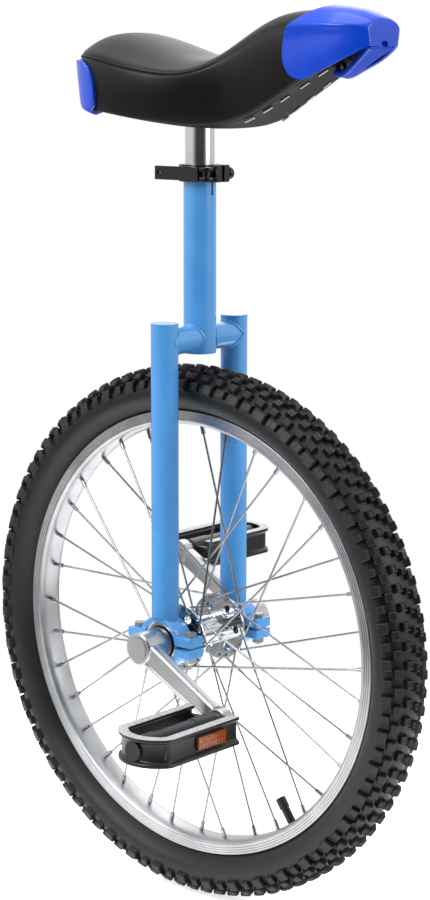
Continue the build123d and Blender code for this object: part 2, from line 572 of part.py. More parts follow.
for side, sign in SIDES.items():
    with BuildPart() as pedal_body:
        with BuildSketch(pedal_level(sign, -PEDAL_THICKNESS / 2)):
            with BuildLine():
                half = PEDAL_WIDTH / 2
                corner_y = PEDAL_OUTER_Y - CORNER_DEPTH
                Line((-half, PEDAL_INNER_Y), (half, PEDAL_INNER_Y))
                Line((half, PEDAL_INNER_Y), (half, corner_y))
                ThreePointArc((half, corner_y), (0, PEDAL_OUTER_Y), (-half, corner_y))
                Line((-half, corner_y), (-half, PEDAL_INNER_Y))
            make_face()
            with BuildLine():
                slot_y = corner_y - SLOT_SETBACK
                Line((-SLOT_HALF_WIDTH, PEDAL_INNER_Y - 1), (SLOT_HALF_WIDTH, PEDAL_INNER_Y - 1))
                Line((SLOT_HALF_WIDTH, PEDAL_INNER_Y - 1), (SLOT_HALF_WIDTH, slot_y))
                end_y = PEDAL_OUTER_Y - SLOT_END
                ThreePointArc((SLOT_HALF_WIDTH, slot_y), (0, end_y), (-SLOT_HALF_WIDTH, slot_y))
                Line((-SLOT_HALF_WIDTH, slot_y), (-SLOT_HALF_WIDTH, PEDAL_INNER_Y - 1))
            make_face(mode=Mode.SUBTRACT)
        extrude(amount=PEDAL_THICKNESS)
        with BuildSketch(pedal_plane(sign, PEDAL_INNER_Y + 1)):
            Rectangle(PEDAL_WIDTH - 2, PEDAL_WEB)
        extrude(amount=PEDAL_WEB + 1)
        with BuildSketch(pedal_plane(sign, PEDAL_INNER_Y + 1)):
            Circle(BARREL_RADIUS)
        extrude(amount=PEDAL_OUTER_Y - PEDAL_INNER_Y - 10)
        with BuildSketch(pedal_plane(sign, PEDAL_INNER_Y)):
            Circle(PEDAL_SPINDLE_RADIUS + 1.5)
        extrude(amount=SPINDLE_END_Y - PEDAL_INNER_Y, mode=Mode.SUBTRACT)
        for cup_y, cup_depth in (
            (PEDAL_INNER_Y, INNER_CUP_Y + PEDAL_BALL_RADIUS - PEDAL_INNER_Y),
            (OUTER_CUP_Y, PEDAL_OUTER_Y - OUTER_CUP_Y),
        ):
            with BuildSketch(pedal_plane(sign, cup_y)):
                Circle(CUP_RADIUS)
            extrude(amount=cup_depth, mode=Mode.SUBTRACT)
        for face in (-1, 1):
            with BuildSketch(reflector_plane(sign, face, PEDAL_WIDTH / 2)):
                Rectangle(REFLECTOR_SIZE[0] + 0.4, REFLECTOR_SIZE[1] + 0.4)
            extrude(amount=REFLECTOR_DEPTH, mode=Mode.SUBTRACT)
    pedal_body.part.label = f"{side}_pedal_body"
    export_step(pedal_body.part, f"parts/{side}_pedal_body.step")

    with BuildPart() as reflectors:
        for face in (-1, 1):
            with BuildSketch(reflector_plane(sign, face, PEDAL_WIDTH / 2 - REFLECTOR_SINK)):
                Rectangle(*REFLECTOR_SIZE)
            extrude(amount=REFLECTOR_DEPTH - REFLECTOR_SINK - 0.05)
    reflectors.part.label = f"{side}_pedal_reflectors"
    export_step(reflectors.part, f"parts/{side}_pedal_reflectors.step")

    with BuildPart() as spindle:
        with BuildSketch(pedal_plane(sign, EYE_INNER_Y + 0.5)):
            Circle(SPINDLE_THREAD_RADIUS)
        extrude(amount=EYE_OUTER_Y - EYE_INNER_Y)
        with BuildSketch(pedal_plane(sign, EYE_OUTER_Y + 0.05)):
            RegularPolygon(radius=SPANNER_FLAT / 2, side_count=6, major_radius=False)
        extrude(amount=PEDAL_INNER_Y - EYE_OUTER_Y - 0.05 + 1)
        with BuildSketch(pedal_plane(sign, PEDAL_INNER_Y)):
            Circle(PEDAL_SPINDLE_RADIUS)
        extrude(amount=SPINDLE_END_Y - PEDAL_INNER_Y)
    spindle.part.label = f"{side}_pedal_spindle"
    export_step(spindle.part, f"parts/{side}_pedal_spindle.step")

    with BuildPart() as pedal_balls:
        for ball_y in (INNER_CUP_Y - 0.5, OUTER_CUP_Y + PEDAL_BALL_RADIUS + 0.1):
            with Locations(pedal_plane(sign, ball_y)):
                with PolarLocations(BALL_CIRCLE_RADIUS, PEDAL_BALLS):
                    Sphere(PEDAL_BALL_RADIUS)
    pedal_balls.part.label = f"{side}_pedal_balls"
    export_step(pedal_balls.part, f"parts/{side}_pedal_balls.step")

    with BuildPart() as end_cap:
        with BuildSketch(pedal_plane(sign, PEDAL_OUTER_Y - 4)):
            Circle(CUP_RADIUS - SEATED)
        extrude(amount=2.5)
    end_cap.part.label = f"{side}_pedal_end_cap"
    export_step(end_cap.part, f"parts/{side}_pedal_end_cap.step")

CONE_Y = OUTER_CUP_Y + 2 * PEDAL_BALL_RADIUS + 0.3
with BuildPart() as pedal_cones:
    for sign in SIDES.values():
        with BuildSketch(pedal_plane(sign, CONE_Y)):
            RegularPolygon(radius=6.5, side_count=6, major_radius=False)
            Circle(PEDAL_SPINDLE_RADIUS + SEATED, mode=Mode.SUBTRACT)
        extrude(amount=SPINDLE_END_Y - CONE_Y - 0.5)
pedal_cones.part.label = "pedal_cones"
export_step(pedal_cones.part, "parts/pedal_cones.step")

# ---------------------------------------------------------------- frame

LEG_Y = BEARING_OFFSET
HOLDER_RADIUS = BEARING_RADIUS + HOLDER_WALL

with BuildPart() as seat_tube:
    with BuildSketch(Plane.XY.offset(SEAT_TUBE_BOTTOM_Z)):
        Circle(SEAT_TUBE_RADIUS)
        Circle(POST_RADIUS + 0.07, mode=Mode.SUBTRACT)
    extrude(amount=SEAT_TUBE_TOP_Z - SEAT_TUBE_BOTTOM_Z)
    with BuildSketch(Plane.XY.offset(SEAT_TUBE_TOP_Z)):
        with Locations((SEAT_TUBE_RADIUS, 0)):
            Rectangle(SEAT_TUBE_RADIUS, 2.5)
    extrude(amount=-28, mode=Mode.SUBTRACT)
seat_tube.part.label = "seat_tube"
export_step(seat_tube.part, "parts/seat_tube.step")

with BuildPart() as crown_tubes:
    with BuildSketch(side_plane(0, CROWN_Z)):
        Circle(LEG_RADIUS)
        Circle(LEG_RADIUS - TUBE_THICKNESS, mode=Mode.SUBTRACT)
    extrude(amount=LEG_Y, both=True)
    with BuildSketch(Plane.XY.offset(CROWN_Z)):
        Circle(SEAT_TUBE_RADIUS)
        with Locations((0, LEG_Y), (0, -LEG_Y)):
            Circle(LEG_RADIUS)
    extrude(amount=2 * LEG_RADIUS, both=True, mode=Mode.SUBTRACT)
crown_tubes.part.label = "crown_tubes"
export_step(crown_tubes.part, "parts/crown_tubes.step")

for side, sign in SIDES.items():
    with BuildPart() as leg:
        with BuildSketch(Plane(origin=(0, sign * LEG_Y, AXLE_Z), z_dir=(0, 0, 1))):
            Circle(LEG_RADIUS)
            Circle(LEG_RADIUS - TUBE_THICKNESS, mode=Mode.SUBTRACT)
        extrude(amount=LEG_TOP_Z - TUBE_THICKNESS - AXLE_Z)
        with BuildSketch(side_plane(sign * LEG_Y)):
            Circle(HOLDER_RADIUS)
        extrude(amount=2 * LEG_RADIUS, both=True, mode=Mode.SUBTRACT)
    leg.part.label = f"{side}_leg"
    export_step(leg.part, f"parts/{side}_leg.step")

with BuildPart() as leg_caps:
    for sign in SIDES.values():
        with BuildSketch(Plane(origin=(0, sign * LEG_Y, LEG_TOP_Z - TUBE_THICKNESS), z_dir=(0, 0, 1))):
            Circle(LEG_RADIUS)
        extrude(amount=TUBE_THICKNESS)
        with BuildSketch(Plane(origin=(0, sign * LEG_Y, LEG_TOP_Z - TUBE_THICKNESS), z_dir=(0, 0, 1))):
            Circle(LEG_RADIUS - TUBE_THICKNESS - SEATED)
        extrude(amount=-5)
leg_caps.part.label = "leg_caps"
export_step(leg_caps.part, "parts/leg_caps.step")

for side, sign in SIDES.items():
    for label, up in ((f"{side}_bearing_holder", 1), (f"{side}_bearing_cap", -1)):
        with BuildPart() as half_holder:
            with BuildSketch(side_plane(sign * LEG_Y)):
                Circle(HOLDER_RADIUS)
                with Locations((0, up * (HOLDER_GAP + EAR_THICKNESS) / 2)):
                    Rectangle(2 * EAR_REACH, EAR_THICKNESS)
                Circle(BEARING_RADIUS + SEATED, mode=Mode.SUBTRACT)
                with Locations((0, -up * (EAR_REACH - HOLDER_GAP / 2))):
                    Rectangle(2 * EAR_REACH + 2, 2 * EAR_REACH, mode=Mode.SUBTRACT)
            extrude(amount=HOLDER_WIDTH / 2, both=True)
            with BuildSketch(Plane(origin=(0, sign * LEG_Y, AXLE_Z), z_dir=(0, 0, up))):
                with Locations((EAR_BOLT_X, 0), (-EAR_BOLT_X, 0)):
                    Circle(BOLT_RADIUS + 0.1)
            extrude(amount=EAR_THICKNESS + 3, mode=Mode.SUBTRACT)
        half_holder.part.label = label
        export_step(half_holder.part, f"parts/{label}.step")

BOLT_PLACES = [(x, sign * LEG_Y) for x in (-EAR_BOLT_X, EAR_BOLT_X) for sign in SIDES.values()]
EAR_FACE = HOLDER_GAP / 2 + EAR_THICKNESS
NUT_THICKNESS = 5.0
with BuildPart() as holder_bolts:
    with BuildSketch(Plane.XY.offset(AXLE_Z + EAR_FACE)):
        with Locations(*BOLT_PLACES):
            RegularPolygon(radius=5, side_count=6, major_radius=False)
    extrude(amount=4)
    with BuildSketch(Plane.XY.offset(AXLE_Z - EAR_FACE - NUT_THICKNESS - 2)):
        with Locations(*BOLT_PLACES):
            Circle(BOLT_RADIUS)
    extrude(amount=2 * EAR_FACE + NUT_THICKNESS + 2)
holder_bolts.part.label = "holder_bolts"
export_step(holder_bolts.part, "parts/holder_bolts.step")

with BuildPart() as holder_nuts:
    with BuildSketch(Plane.XY.offset(AXLE_Z - EAR_FACE - NUT_THICKNESS)):
        with Locations(*BOLT_PLACES):
            RegularPolygon(radius=5, side_count=6, major_radius=False)
            Circle(BOLT_RADIUS + SEATED, mode=Mode.SUBTRACT)
    extrude(amount=NUT_THICKNESS)
holder_nuts.part.label = "holder_nuts"
export_step(holder_nuts.part, "parts/holder_nuts.step")

# ---------------------------------------------------------------- seat clamp

CLAMP_Z = SEAT_TUBE_TOP_Z - COLLAR_HEIGHT / 2
CLAMP_LEVEL = Plane.XY.offset(CLAMP_Z)
COLLAR_RADIUS = SEAT_TUBE_RADIUS + COLLAR_WALL
LUG_GAP = 3.0
LUG_END_X = SKEWER_X + 5
WASHER_THICKNESS = 2.3
CAM_Y = -(LUG_OUTER_Y + WASHER_THICKNESS + 0.3 + CAM_RADIUS)
CAM_CENTRE = (SKEWER_X, CAM_Y)
LEVER_HEIGHT = 12.4
LEVER_THICKNESS = 4.0
LEVER_INNER_Y = -(COLLAR_RADIUS + 1)
PIN_RADIUS = 2.0
EYE_HALF_HEIGHT = 2.4
CLAMP_NUT_RADIUS = 5.7

with BuildPart() as clamp_collar:
    with BuildSketch(CLAMP_LEVEL):
        Circle(COLLAR_RADIUS)
        with Locations(((SEAT_TUBE_RADIUS + LUG_END_X) / 2, 0)):
            Rectangle(LUG_END_X - SEAT_TUBE_RADIUS, 2 * LUG_OUTER_Y)
        Circle(SEAT_TUBE_RADIUS + SEATED, mode=Mode.SUBTRACT)
        with Locations((SKEWER_X, 0)):
            Rectangle(SKEWER_X, LUG_GAP, mode=Mode.SUBTRACT)
    extrude(amount=COLLAR_HEIGHT / 2, both=True)
    with BuildSketch(side_plane(0, CLAMP_Z)):
        with Locations((SKEWER_X, 0)):
            Circle(SKEWER_RADIUS + 0.1)
    extrude(amount=2 * LUG_OUTER_Y, both=True, mode=Mode.SUBTRACT)
clamp_collar.part.label = "clamp_collar"
export_step(clamp_collar.part, "parts/clamp_collar.step")

NUT_LENGTH = 6.0
SKEWER_END_Y = LUG_OUTER_Y + NUT_LENGTH + 1
with BuildPart() as clamp_skewer:
    with BuildSketch(side_plane(CAM_Y, CLAMP_Z)):
        with Locations((SKEWER_X, 0)):
            Circle(SKEWER_RADIUS)
    extrude(amount=CAM_Y - SKEWER_END_Y)
    with BuildSketch(CLAMP_LEVEL):
        with Locations(CAM_CENTRE):
            Circle(PIN_RADIUS + 2)
    extrude(amount=EYE_HALF_HEIGHT, both=True)
    with BuildSketch(CLAMP_LEVEL):
        with Locations(CAM_CENTRE):
            Circle(PIN_RADIUS + SEATED)
    extrude(amount=EYE_HALF_HEIGHT + 1, both=True, mode=Mode.SUBTRACT)
clamp_skewer.part.label = "clamp_skewer"
export_step(clamp_skewer.part, "parts/clamp_skewer.step")

with BuildPart() as clamp_washer:
    with BuildSketch(side_plane(-LUG_OUTER_Y - 0.05, CLAMP_Z)):
        with Locations((SKEWER_X, 0)):
            Circle(CAM_RADIUS - 0.4)
            Circle(SKEWER_RADIUS + 0.1, mode=Mode.SUBTRACT)
    extrude(amount=WASHER_THICKNESS)
clamp_washer.part.label = "clamp_washer"
export_step(clamp_washer.part, "parts/clamp_washer.step")

with BuildPart() as clamp_pivot_pin:
    with BuildSketch(CLAMP_LEVEL):
        with Locations(CAM_CENTRE):
            Circle(PIN_RADIUS)
    extrude(amount=LEVER_HEIGHT / 2, both=True)
clamp_pivot_pin.part.label = "clamp_pivot_pin"
export_step(clamp_pivot_pin.part, "parts/clamp_pivot_pin.step")

with BuildPart() as clamp_lever:
    with BuildSketch(CLAMP_LEVEL):
        with Locations(CAM_CENTRE):
            Circle(CAM_RADIUS)
        with BuildLine():
            tip_x = SKEWER_X - LEVER_REACH
            root_x = SKEWER_X - 5
            outer_y = LEVER_INNER_Y - LEVER_THICKNESS
            middle_y = (LEVER_INNER_Y + outer_y) / 2
            Line((root_x, LEVER_INNER_Y), (tip_x, LEVER_INNER_Y))
            ThreePointArc((tip_x, LEVER_INNER_Y), (tip_x - LEVER_THICKNESS / 2, middle_y), (tip_x, outer_y))
            Line((tip_x, outer_y), (root_x, outer_y))
            Line((root_x, outer_y), (root_x, LEVER_INNER_Y))
        make_face()
    extrude(amount=LEVER_HEIGHT / 2, both=True)
    with BuildSketch(CLAMP_LEVEL):
        with Locations(CAM_CENTRE):
            Circle(CAM_RADIUS + 0.5)
    extrude(amount=EYE_HALF_HEIGHT + 0.2, both=True, mode=Mode.SUBTRACT)
    with BuildSketch(CLAMP_LEVEL):
        with Locations(CAM_CENTRE):
            Circle(PIN_RADIUS + FIT)
    extrude(amount=LEVER_HEIGHT, both=True, mode=Mode.SUBTRACT)
    with BuildSketch(side_plane(LEVER_INNER_Y + 1, CLAMP_Z)):
        with Locations((tip_x + 4, 0)):
            Circle(2)
    extrude(amount=LEVER_THICKNESS + 2, mode=Mode.SUBTRACT)
clamp_lever.part.label = "clamp_lever"
export_step(clamp_lever.part, "parts/clamp_lever.step")

with BuildPart() as clamp_nut:
    with BuildSketch(side_plane(LUG_OUTER_Y + 0.2, CLAMP_Z)):
        with Locations((SKEWER_X, 0)):
            Circle(CLAMP_NUT_RADIUS)
            Circle(SKEWER_RADIUS + FIT, mode=Mode.SUBTRACT)
    extrude(amount=-NUT_LENGTH)
clamp_nut.part.label = "clamp_nut"
export_step(clamp_nut.part, "parts/clamp_nut.step")

# ---------------------------------------------------------------- saddle stations

# Each station across the saddle: X, half width, half width at the bottom edge, and the heights above
# the post's top of the bottom edge, the side edge of the top, and the top's centre line.
STATIONS = [
    (-113, 34, 26, 13.5, 53.5, 61.5),
    (-98, 56, 48, 11.5, 57.5, 73.0),
    (-72, 72.5, 65.5, 8.2, 57.5, 78.5),
    (-40, 78, 71, 4.5, 51.5, 72.5),
    (0, 74, 68, -1.0, 45.5, 61.0),
    (32, 60, 54, -5.0, 44.5, 58.0),
    (62, 43, 38, -2.5, 56.5, 72.5),
    (92, 35, 30, 10.0, 73.5, 90.5),
    (125, 33, 28, 28.5, 82.5, 99.0),
    (152, 33, 27, 44.0, 83.5, 98.0),
    (168, 28, 22, 53.5, 79.5, 92.5),
]


def station_section(x, half, bottom_half, bottom, edge, top, grow):
    """The closed outline of one station, grown outwards by a margin."""
    with BuildSketch(Plane(origin=(x, 0, POST_TOP_Z), x_dir=(0, 1, 0), z_dir=(1, 0, 0))) as section:
        with BuildLine():
            Line((-bottom_half - grow, bottom - grow), (bottom_half + grow, bottom - grow))
            Line((bottom_half + grow, bottom - grow), (half + grow, edge))
            ThreePointArc((half + grow, edge), (0, top + grow), (-half - grow, edge))
            Line((-half - grow, edge), (-bottom_half - grow, bottom - grow))
        make_face()
    return section.sketch.face()


def saddle_form(grow=0.0):
    """The saddle's body through every station, or the same body grown by a margin."""
    sections = []
    for x, *sizes in STATIONS:
        if x == STATIONS[0][0]:
            x -= grow
        if x == STATIONS[-1][0]:
            x += grow
        sections.append(station_section(x, *sizes, grow))
    with BuildPart() as form:
        loft(sections=sections)
    return form.part


def base_form(stations, inset, low, high):
    """A block under the saddle that keeps inside the bottom edge and follows its heights."""
    sections = []
    for x, _, bottom_half, bottom, _, _ in stations:
        if x == stations[0][0]:
            x += inset / 2
        if x == stations[-1][0]:
            x -= inset / 2
        section_plane = Plane(origin=(x, 0, POST_TOP_Z + bottom), x_dir=(0, 1, 0), z_dir=(1, 0, 0))
        with BuildSketch(section_plane) as section:
            with Locations((0, (low + high) / 2)):
                Rectangle(2 * max(bottom_half - inset, 2), high - low)
        sections.append(section.sketch.face())
    with BuildPart() as form:
        loft(sections=sections, ruled=True)
    return form.part


BASE_STATIONS = STATIONS[1:]
POCKET_STATIONS = STATIONS[2:-1]

with BuildPart() as saddle_cushion:
    add(saddle_form())
    add(base_form(BASE_STATIONS, BASE_INSET - SOFT_GAP, -8, BASE_DEPTH + SOFT_GAP), mode=Mode.SUBTRACT)
saddle_cushion.part.label = "saddle_cushion"
export_step(saddle_cushion.part, "parts/saddle_cushion.step")

# Screws that hold the bumpers to the base: places, the height of each head's seat, and lengths
SCREW_RADIUS = 2.0
SCREW_HEAD_RADIUS = 3.6
SCREW_HEAD_THICKNESS = 1.8
FRONT_SCREWS = [(163.0, 5.0), (163.0, -5.0)]
REAR_SCREWS = [(-88.0, 16.0), (-88.0, -16.0)]
FRONT_SCREW_SEAT = POST_TOP_Z + 45.5
REAR_SCREW_SEAT = POST_TOP_Z + 6.1
FRONT_SCREW_LENGTH = 13.0
REAR_SCREW_LENGTH = 10.0

PLATE_TOP_Z = POST_TOP_Z + PLATE_THICKNESS
STUD_RADIUS = 3.0
BASE_LIFT = 0.5
with BuildPart() as saddle_base:
    add(base_form(BASE_STATIONS, BASE_INSET, BASE_LIFT, BASE_DEPTH))
    add(base_form(POCKET_STATIONS, BASE_INSET + BASE_WALL, -2, BASE_DEPTH - BASE_WALL), mode=Mode.SUBTRACT)
    with BuildSketch(Plane.XY.offset(PLATE_TOP_Z + SEATED)):
        with Locations((PLATE_CENTRE_X, 0)):
            with GridLocations(*PLATE_BOLT_SPACING, 2, 2):
                Circle(6)
    extrude(until=Until.NEXT)
    with BuildSketch(Plane.XY.offset(PLATE_TOP_Z)):
        with Locations((PLATE_CENTRE_X, 0)):
            with GridLocations(*PLATE_BOLT_SPACING, 2, 2):
                Circle(STUD_RADIUS + SEATED)
    extrude(amount=4, mode=Mode.SUBTRACT)
    for places, seat_z, length in (
        (FRONT_SCREWS, FRONT_SCREW_SEAT, FRONT_SCREW_LENGTH),
        (REAR_SCREWS, REAR_SCREW_SEAT, REAR_SCREW_LENGTH),
    ):
        with BuildSketch(Plane.XY.offset(seat_z)):
            with Locations(*places):
                Circle(SCREW_RADIUS + SEATED)
        extrude(amount=length + 0.3, mode=Mode.SUBTRACT)
saddle_base.part.label = "saddle_base"
export_step(saddle_base.part, "parts/saddle_base.step")

with BuildPart() as seatpost:
    with BuildSketch(Plane.XY.offset(POST_TOP_Z - POST_LENGTH)):
        Circle(POST_RADIUS)
        Circle(POST_RADIUS - 2, mode=Mode.SUBTRACT)
    extrude(amount=POST_LENGTH)
seatpost.part.label = "seatpost"
export_step(seatpost.part, "parts/seatpost.step")

with BuildPart() as seatpost_plate:
    with BuildSketch(Plane.XY.offset(POST_TOP_Z)):
        with Locations((PLATE_CENTRE_X, 0)):
            RectangleRounded(PLATE_BOLT_SPACING[0] + 18, PLATE_BOLT_SPACING[1] + 16, 8)
            with GridLocations(*PLATE_BOLT_SPACING, 2, 2):
                Circle(STUD_RADIUS + 0.2, mode=Mode.SUBTRACT)
    extrude(amount=PLATE_THICKNESS)
seatpost_plate.part.label = "seatpost_plate"
export_step(seatpost_plate.part, "parts/seatpost_plate.step")

STUD_NUT = 3.6
with BuildPart() as saddle_studs:
    with BuildSketch(Plane.XY.offset(POST_TOP_Z - STUD_NUT - 0.8)):
        with Locations((PLATE_CENTRE_X, 0)):
            with GridLocations(*PLATE_BOLT_SPACING, 2, 2):
                Circle(STUD_RADIUS)
    extrude(amount=STUD_NUT + 0.8 + PLATE_THICKNESS + 3.5)
saddle_studs.part.label = "saddle_studs"
export_step(saddle_studs.part, "parts/saddle_studs.step")

with BuildPart() as saddle_nuts:
    with BuildSketch(Plane.XY.offset(POST_TOP_Z - STUD_NUT)):
        with Locations((PLATE_CENTRE_X, 0)):
            with GridLocations(*PLATE_BOLT_SPACING, 2, 2):
                RegularPolygon(radius=5, side_count=6, major_radius=False)
                Circle(STUD_RADIUS + SEATED, mode=Mode.SUBTRACT)
    extrude(amount=STUD_NUT)
saddle_nuts.part.label = "saddle_nuts"
export_step(saddle_nuts.part, "parts/saddle_nuts.step")

# ---------------------------------------------------------------- bumpers, their screws and the staples

# The front bumper is a hollow handle. Its outside has stations of the same kind as the saddle's.
NOSE_STATIONS = [
    (92, 39, 34, 6.0, 73.5, 94.5),
    (125, 37, 32, 24.5, 82.5, 103.0),
    (152, 37, 31, 40.0, 83.5, 102.0),
    (180, 36, 30, 51.5, 82.5, 98.5),
    (203, 29, 24, 60.5, 78.5, 91.0),
    (214, 17, 12, 65.5, 72.5, 77.5),
]
HANDLE_WALL = 3.2
STRAP_FOOT = (169.0, 40.5)
STRAP_TIP = (213.0, 67.5)
STRAP_HALF_WIDTH = (9.0, 14.0)
STRAP_THICKNESS = 4.5
SIDE_VIEW = side_plane(0, POST_TOP_Z)    # local y is the height above the post's top
HOLLOW_DEPTH = 21.0     # how far below its lower edge the handle's hollow is open

with BuildPart() as front_bumper:
    loft(sections=[station_section(*station, 0) for station in NOSE_STATIONS])
    with BuildPart(mode=Mode.PRIVATE) as hollow:
        inner = []
        for x, half, bottom_half, bottom, edge, top in NOSE_STATIONS:
            if x == NOSE_STATIONS[-1][0]:
                x -= HANDLE_WALL
            bottom -= HOLLOW_DEPTH
            inner.append(station_section(x, half, bottom_half, bottom, edge, top, -HANDLE_WALL))
        loft(sections=inner)
    add(hollow.part, mode=Mode.SUBTRACT)
    with BuildSketch(SIDE_VIEW):
        with BuildLine():
            Polyline(
                (141, 35.5), (128, 41.5), (123, 61.5), (130, 78.5), (160, 107.5), (220, 107.5), (220, 63.5),
                (210, 64.5), (191, 59), (176, 50.5), (160, 41.5), (150, 36), close=True,
            )
        make_face()
    extrude(amount=50, both=True, mode=Mode.INTERSECT)
    run = Vector(STRAP_TIP[0] - STRAP_FOOT[0], 0, STRAP_TIP[1] - STRAP_FOOT[1])
    foot_plane = Plane(origin=(STRAP_FOOT[0], 0, POST_TOP_Z + STRAP_FOOT[1]), x_dir=run, z_dir=(-run.Z, 0, run.X))
    with BuildSketch(foot_plane):
        with BuildLine():
            foot_half, tip_half = STRAP_HALF_WIDTH
            Polyline(
                (0, -foot_half), (run.length, -tip_half), (run.length, tip_half), (0, foot_half), close=True,
            )
        make_face()
    extrude(amount=STRAP_THICKNESS)
    with BuildSketch(SIDE_VIEW):
        with BuildLine():
            Polyline((157, 46.1), STRAP_FOOT, (178, 46), (170, 53.8), close=True)
        make_face()
    extrude(amount=STRAP_HALF_WIDTH[0], both=True)
    add(saddle_form(SOFT_GAP), mode=Mode.SUBTRACT)
    with BuildSketch(Plane.XY.offset(FRONT_SCREW_SEAT)):
        with Locations(*FRONT_SCREWS):
            Circle(SCREW_RADIUS + 0.2)
    extrude(amount=12, mode=Mode.SUBTRACT)
    with BuildSketch(Plane.XY.offset(FRONT_SCREW_SEAT)):
        with Locations(*FRONT_SCREWS):
            Circle(SCREW_HEAD_RADIUS + 0.2)
    extrude(amount=-8, mode=Mode.SUBTRACT)
front_bumper.part.label = "front_bumper"
export_step(front_bumper.part, "parts/front_bumper.step")

with BuildPart() as rear_bumper:
    add(saddle_form(BUMPER_WALL))
    add(saddle_form(SOFT_GAP), mode=Mode.SUBTRACT)
    with BuildSketch(SIDE_VIEW):
        with BuildLine():
            Polyline((-131, 3.5), (-75, 3.5), (-64, 26.5), (-75, 50), (-92, 57), (-131, 57), close=True)
        make_face()
    extrude(amount=100, both=True, mode=Mode.INTERSECT)
    with BuildSketch(Plane.XY.offset(REAR_SCREW_SEAT)):
        with Locations(*REAR_SCREWS):
            Circle(SCREW_RADIUS + 0.2)
    extrude(amount=8, mode=Mode.SUBTRACT)
    with BuildSketch(Plane.XY.offset(REAR_SCREW_SEAT)):
        with Locations(*REAR_SCREWS):
            Circle(SCREW_HEAD_RADIUS + 0.2)
    extrude(amount=-8, mode=Mode.SUBTRACT)
rear_bumper.part.label = "rear_bumper"
export_step(rear_bumper.part, "parts/rear_bumper.step")

with BuildPart() as bumper_screws:
    for places, seat_z, length in (
        (FRONT_SCREWS, FRONT_SCREW_SEAT, FRONT_SCREW_LENGTH),
        (REAR_SCREWS, REAR_SCREW_SEAT, REAR_SCREW_LENGTH),
    ):
        with BuildSketch(Plane.XY.offset(seat_z - SCREW_HEAD_THICKNESS)):
            with Locations(*places):
                Circle(SCREW_HEAD_RADIUS)
        extrude(amount=SCREW_HEAD_THICKNESS)
        with BuildSketch(Plane.XY.offset(seat_z)):
            with Locations(*places):
                Circle(SCREW_RADIUS)
        extrude(amount=length)
bumper_screws.part.label = "bumper_screws"
export_step(bumper_screws.part, "parts/bumper_screws.step")

STAPLE_XS = [76.0, 98.5, 117.0, 136.0, 145.5]
STAPLE_SIZE = (8.0, 1.1, 0.6)


def base_edge(x):
    """Half width and height over the post of the bottom edge at x, and the edge's slope there."""
    for (x0, _, half0, z0, _, _), (x1, _, half1, z1, _, _) in zip(STATIONS, STATIONS[1:]):
        if x0 <= x <= x1:
            share = (x - x0) / (x1 - x0)
            return half0 + share * (half1 - half0), z0 + share * (z1 - z0), (z1 - z0) / (x1 - x0)


with BuildPart() as saddle_staples:
    for x in STAPLE_XS:
        edge_half, edge_z, slope = base_edge(x)
        for sign in SIDES.values():
            staple_y = sign * (edge_half - BASE_INSET - BASE_WALL / 2)
            staple_z = POST_TOP_Z + edge_z + BASE_LIFT - 0.05
            staple_plane = Plane(origin=(x, staple_y, staple_z), x_dir=(1, 0, slope),
                                 z_dir=(slope, 0, -1))
            with BuildSketch(staple_plane):
                Rectangle(STAPLE_SIZE[0], STAPLE_SIZE[1])
            extrude(amount=STAPLE_SIZE[2])
saddle_staples.part.label = "saddle_staples"
export_step(saddle_staples.part, "parts/saddle_staples.step")
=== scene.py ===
import math

import bmesh
import bpy
from mathutils import Matrix, Vector


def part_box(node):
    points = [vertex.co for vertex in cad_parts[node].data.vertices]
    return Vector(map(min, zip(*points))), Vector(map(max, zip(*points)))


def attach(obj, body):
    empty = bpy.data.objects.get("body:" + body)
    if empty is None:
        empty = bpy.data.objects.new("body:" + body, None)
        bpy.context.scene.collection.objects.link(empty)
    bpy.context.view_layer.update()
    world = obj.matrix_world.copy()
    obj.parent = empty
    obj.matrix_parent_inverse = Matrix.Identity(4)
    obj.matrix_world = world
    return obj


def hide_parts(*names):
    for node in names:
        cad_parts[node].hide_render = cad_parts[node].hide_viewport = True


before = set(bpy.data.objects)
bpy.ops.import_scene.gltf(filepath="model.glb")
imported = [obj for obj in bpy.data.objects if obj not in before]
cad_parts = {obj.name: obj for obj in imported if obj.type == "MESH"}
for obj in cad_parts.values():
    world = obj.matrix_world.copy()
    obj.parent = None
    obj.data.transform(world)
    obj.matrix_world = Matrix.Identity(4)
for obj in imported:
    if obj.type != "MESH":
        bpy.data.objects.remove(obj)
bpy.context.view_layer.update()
scene = bpy.context.scene

# Studio: a pale floor that runs out of sight under large soft lamps, in a white room whose one dark
# wall, behind the camera, gives bright metal its dark streaks as a product studio does. The camera
# stands ahead of the unicycle and to its right, a little above the hub, and looks slightly down.
MM = 0.001
AIM = Vector((0, 0, 0.430))
CAMERA_DISTANCE = 2.0297
CAMERA_TURN = math.radians(41.42)
CAMERA_PITCH = math.radians(10.26)
CAMERA_LENS = 86.43
FLOOR_RADIUS = 0.75
UP = Vector((0, 0, 1))

towards_camera = Vector((
    math.sin(CAMERA_TURN) * math.cos(CAMERA_PITCH),
    -math.cos(CAMERA_TURN) * math.cos(CAMERA_PITCH),
    math.sin(CAMERA_PITCH),
))
rightwards = Vector((math.cos(CAMERA_TURN), math.sin(CAMERA_TURN), 0))
camera = bpy.data.objects.new("camera", bpy.data.cameras.new("camera"))
scene.collection.objects.link(camera)
camera.location = AIM + CAMERA_DISTANCE * towards_camera
camera.rotation_euler = (-towards_camera).to_track_quat("-Z", "Y").to_euler()
camera.data.lens = CAMERA_LENS
camera.data.sensor_width = 36
camera.data.shift_x = 0.0168
camera.data.shift_y = 0.003
scene.camera = camera
scene.view_settings.view_transform = "Standard"


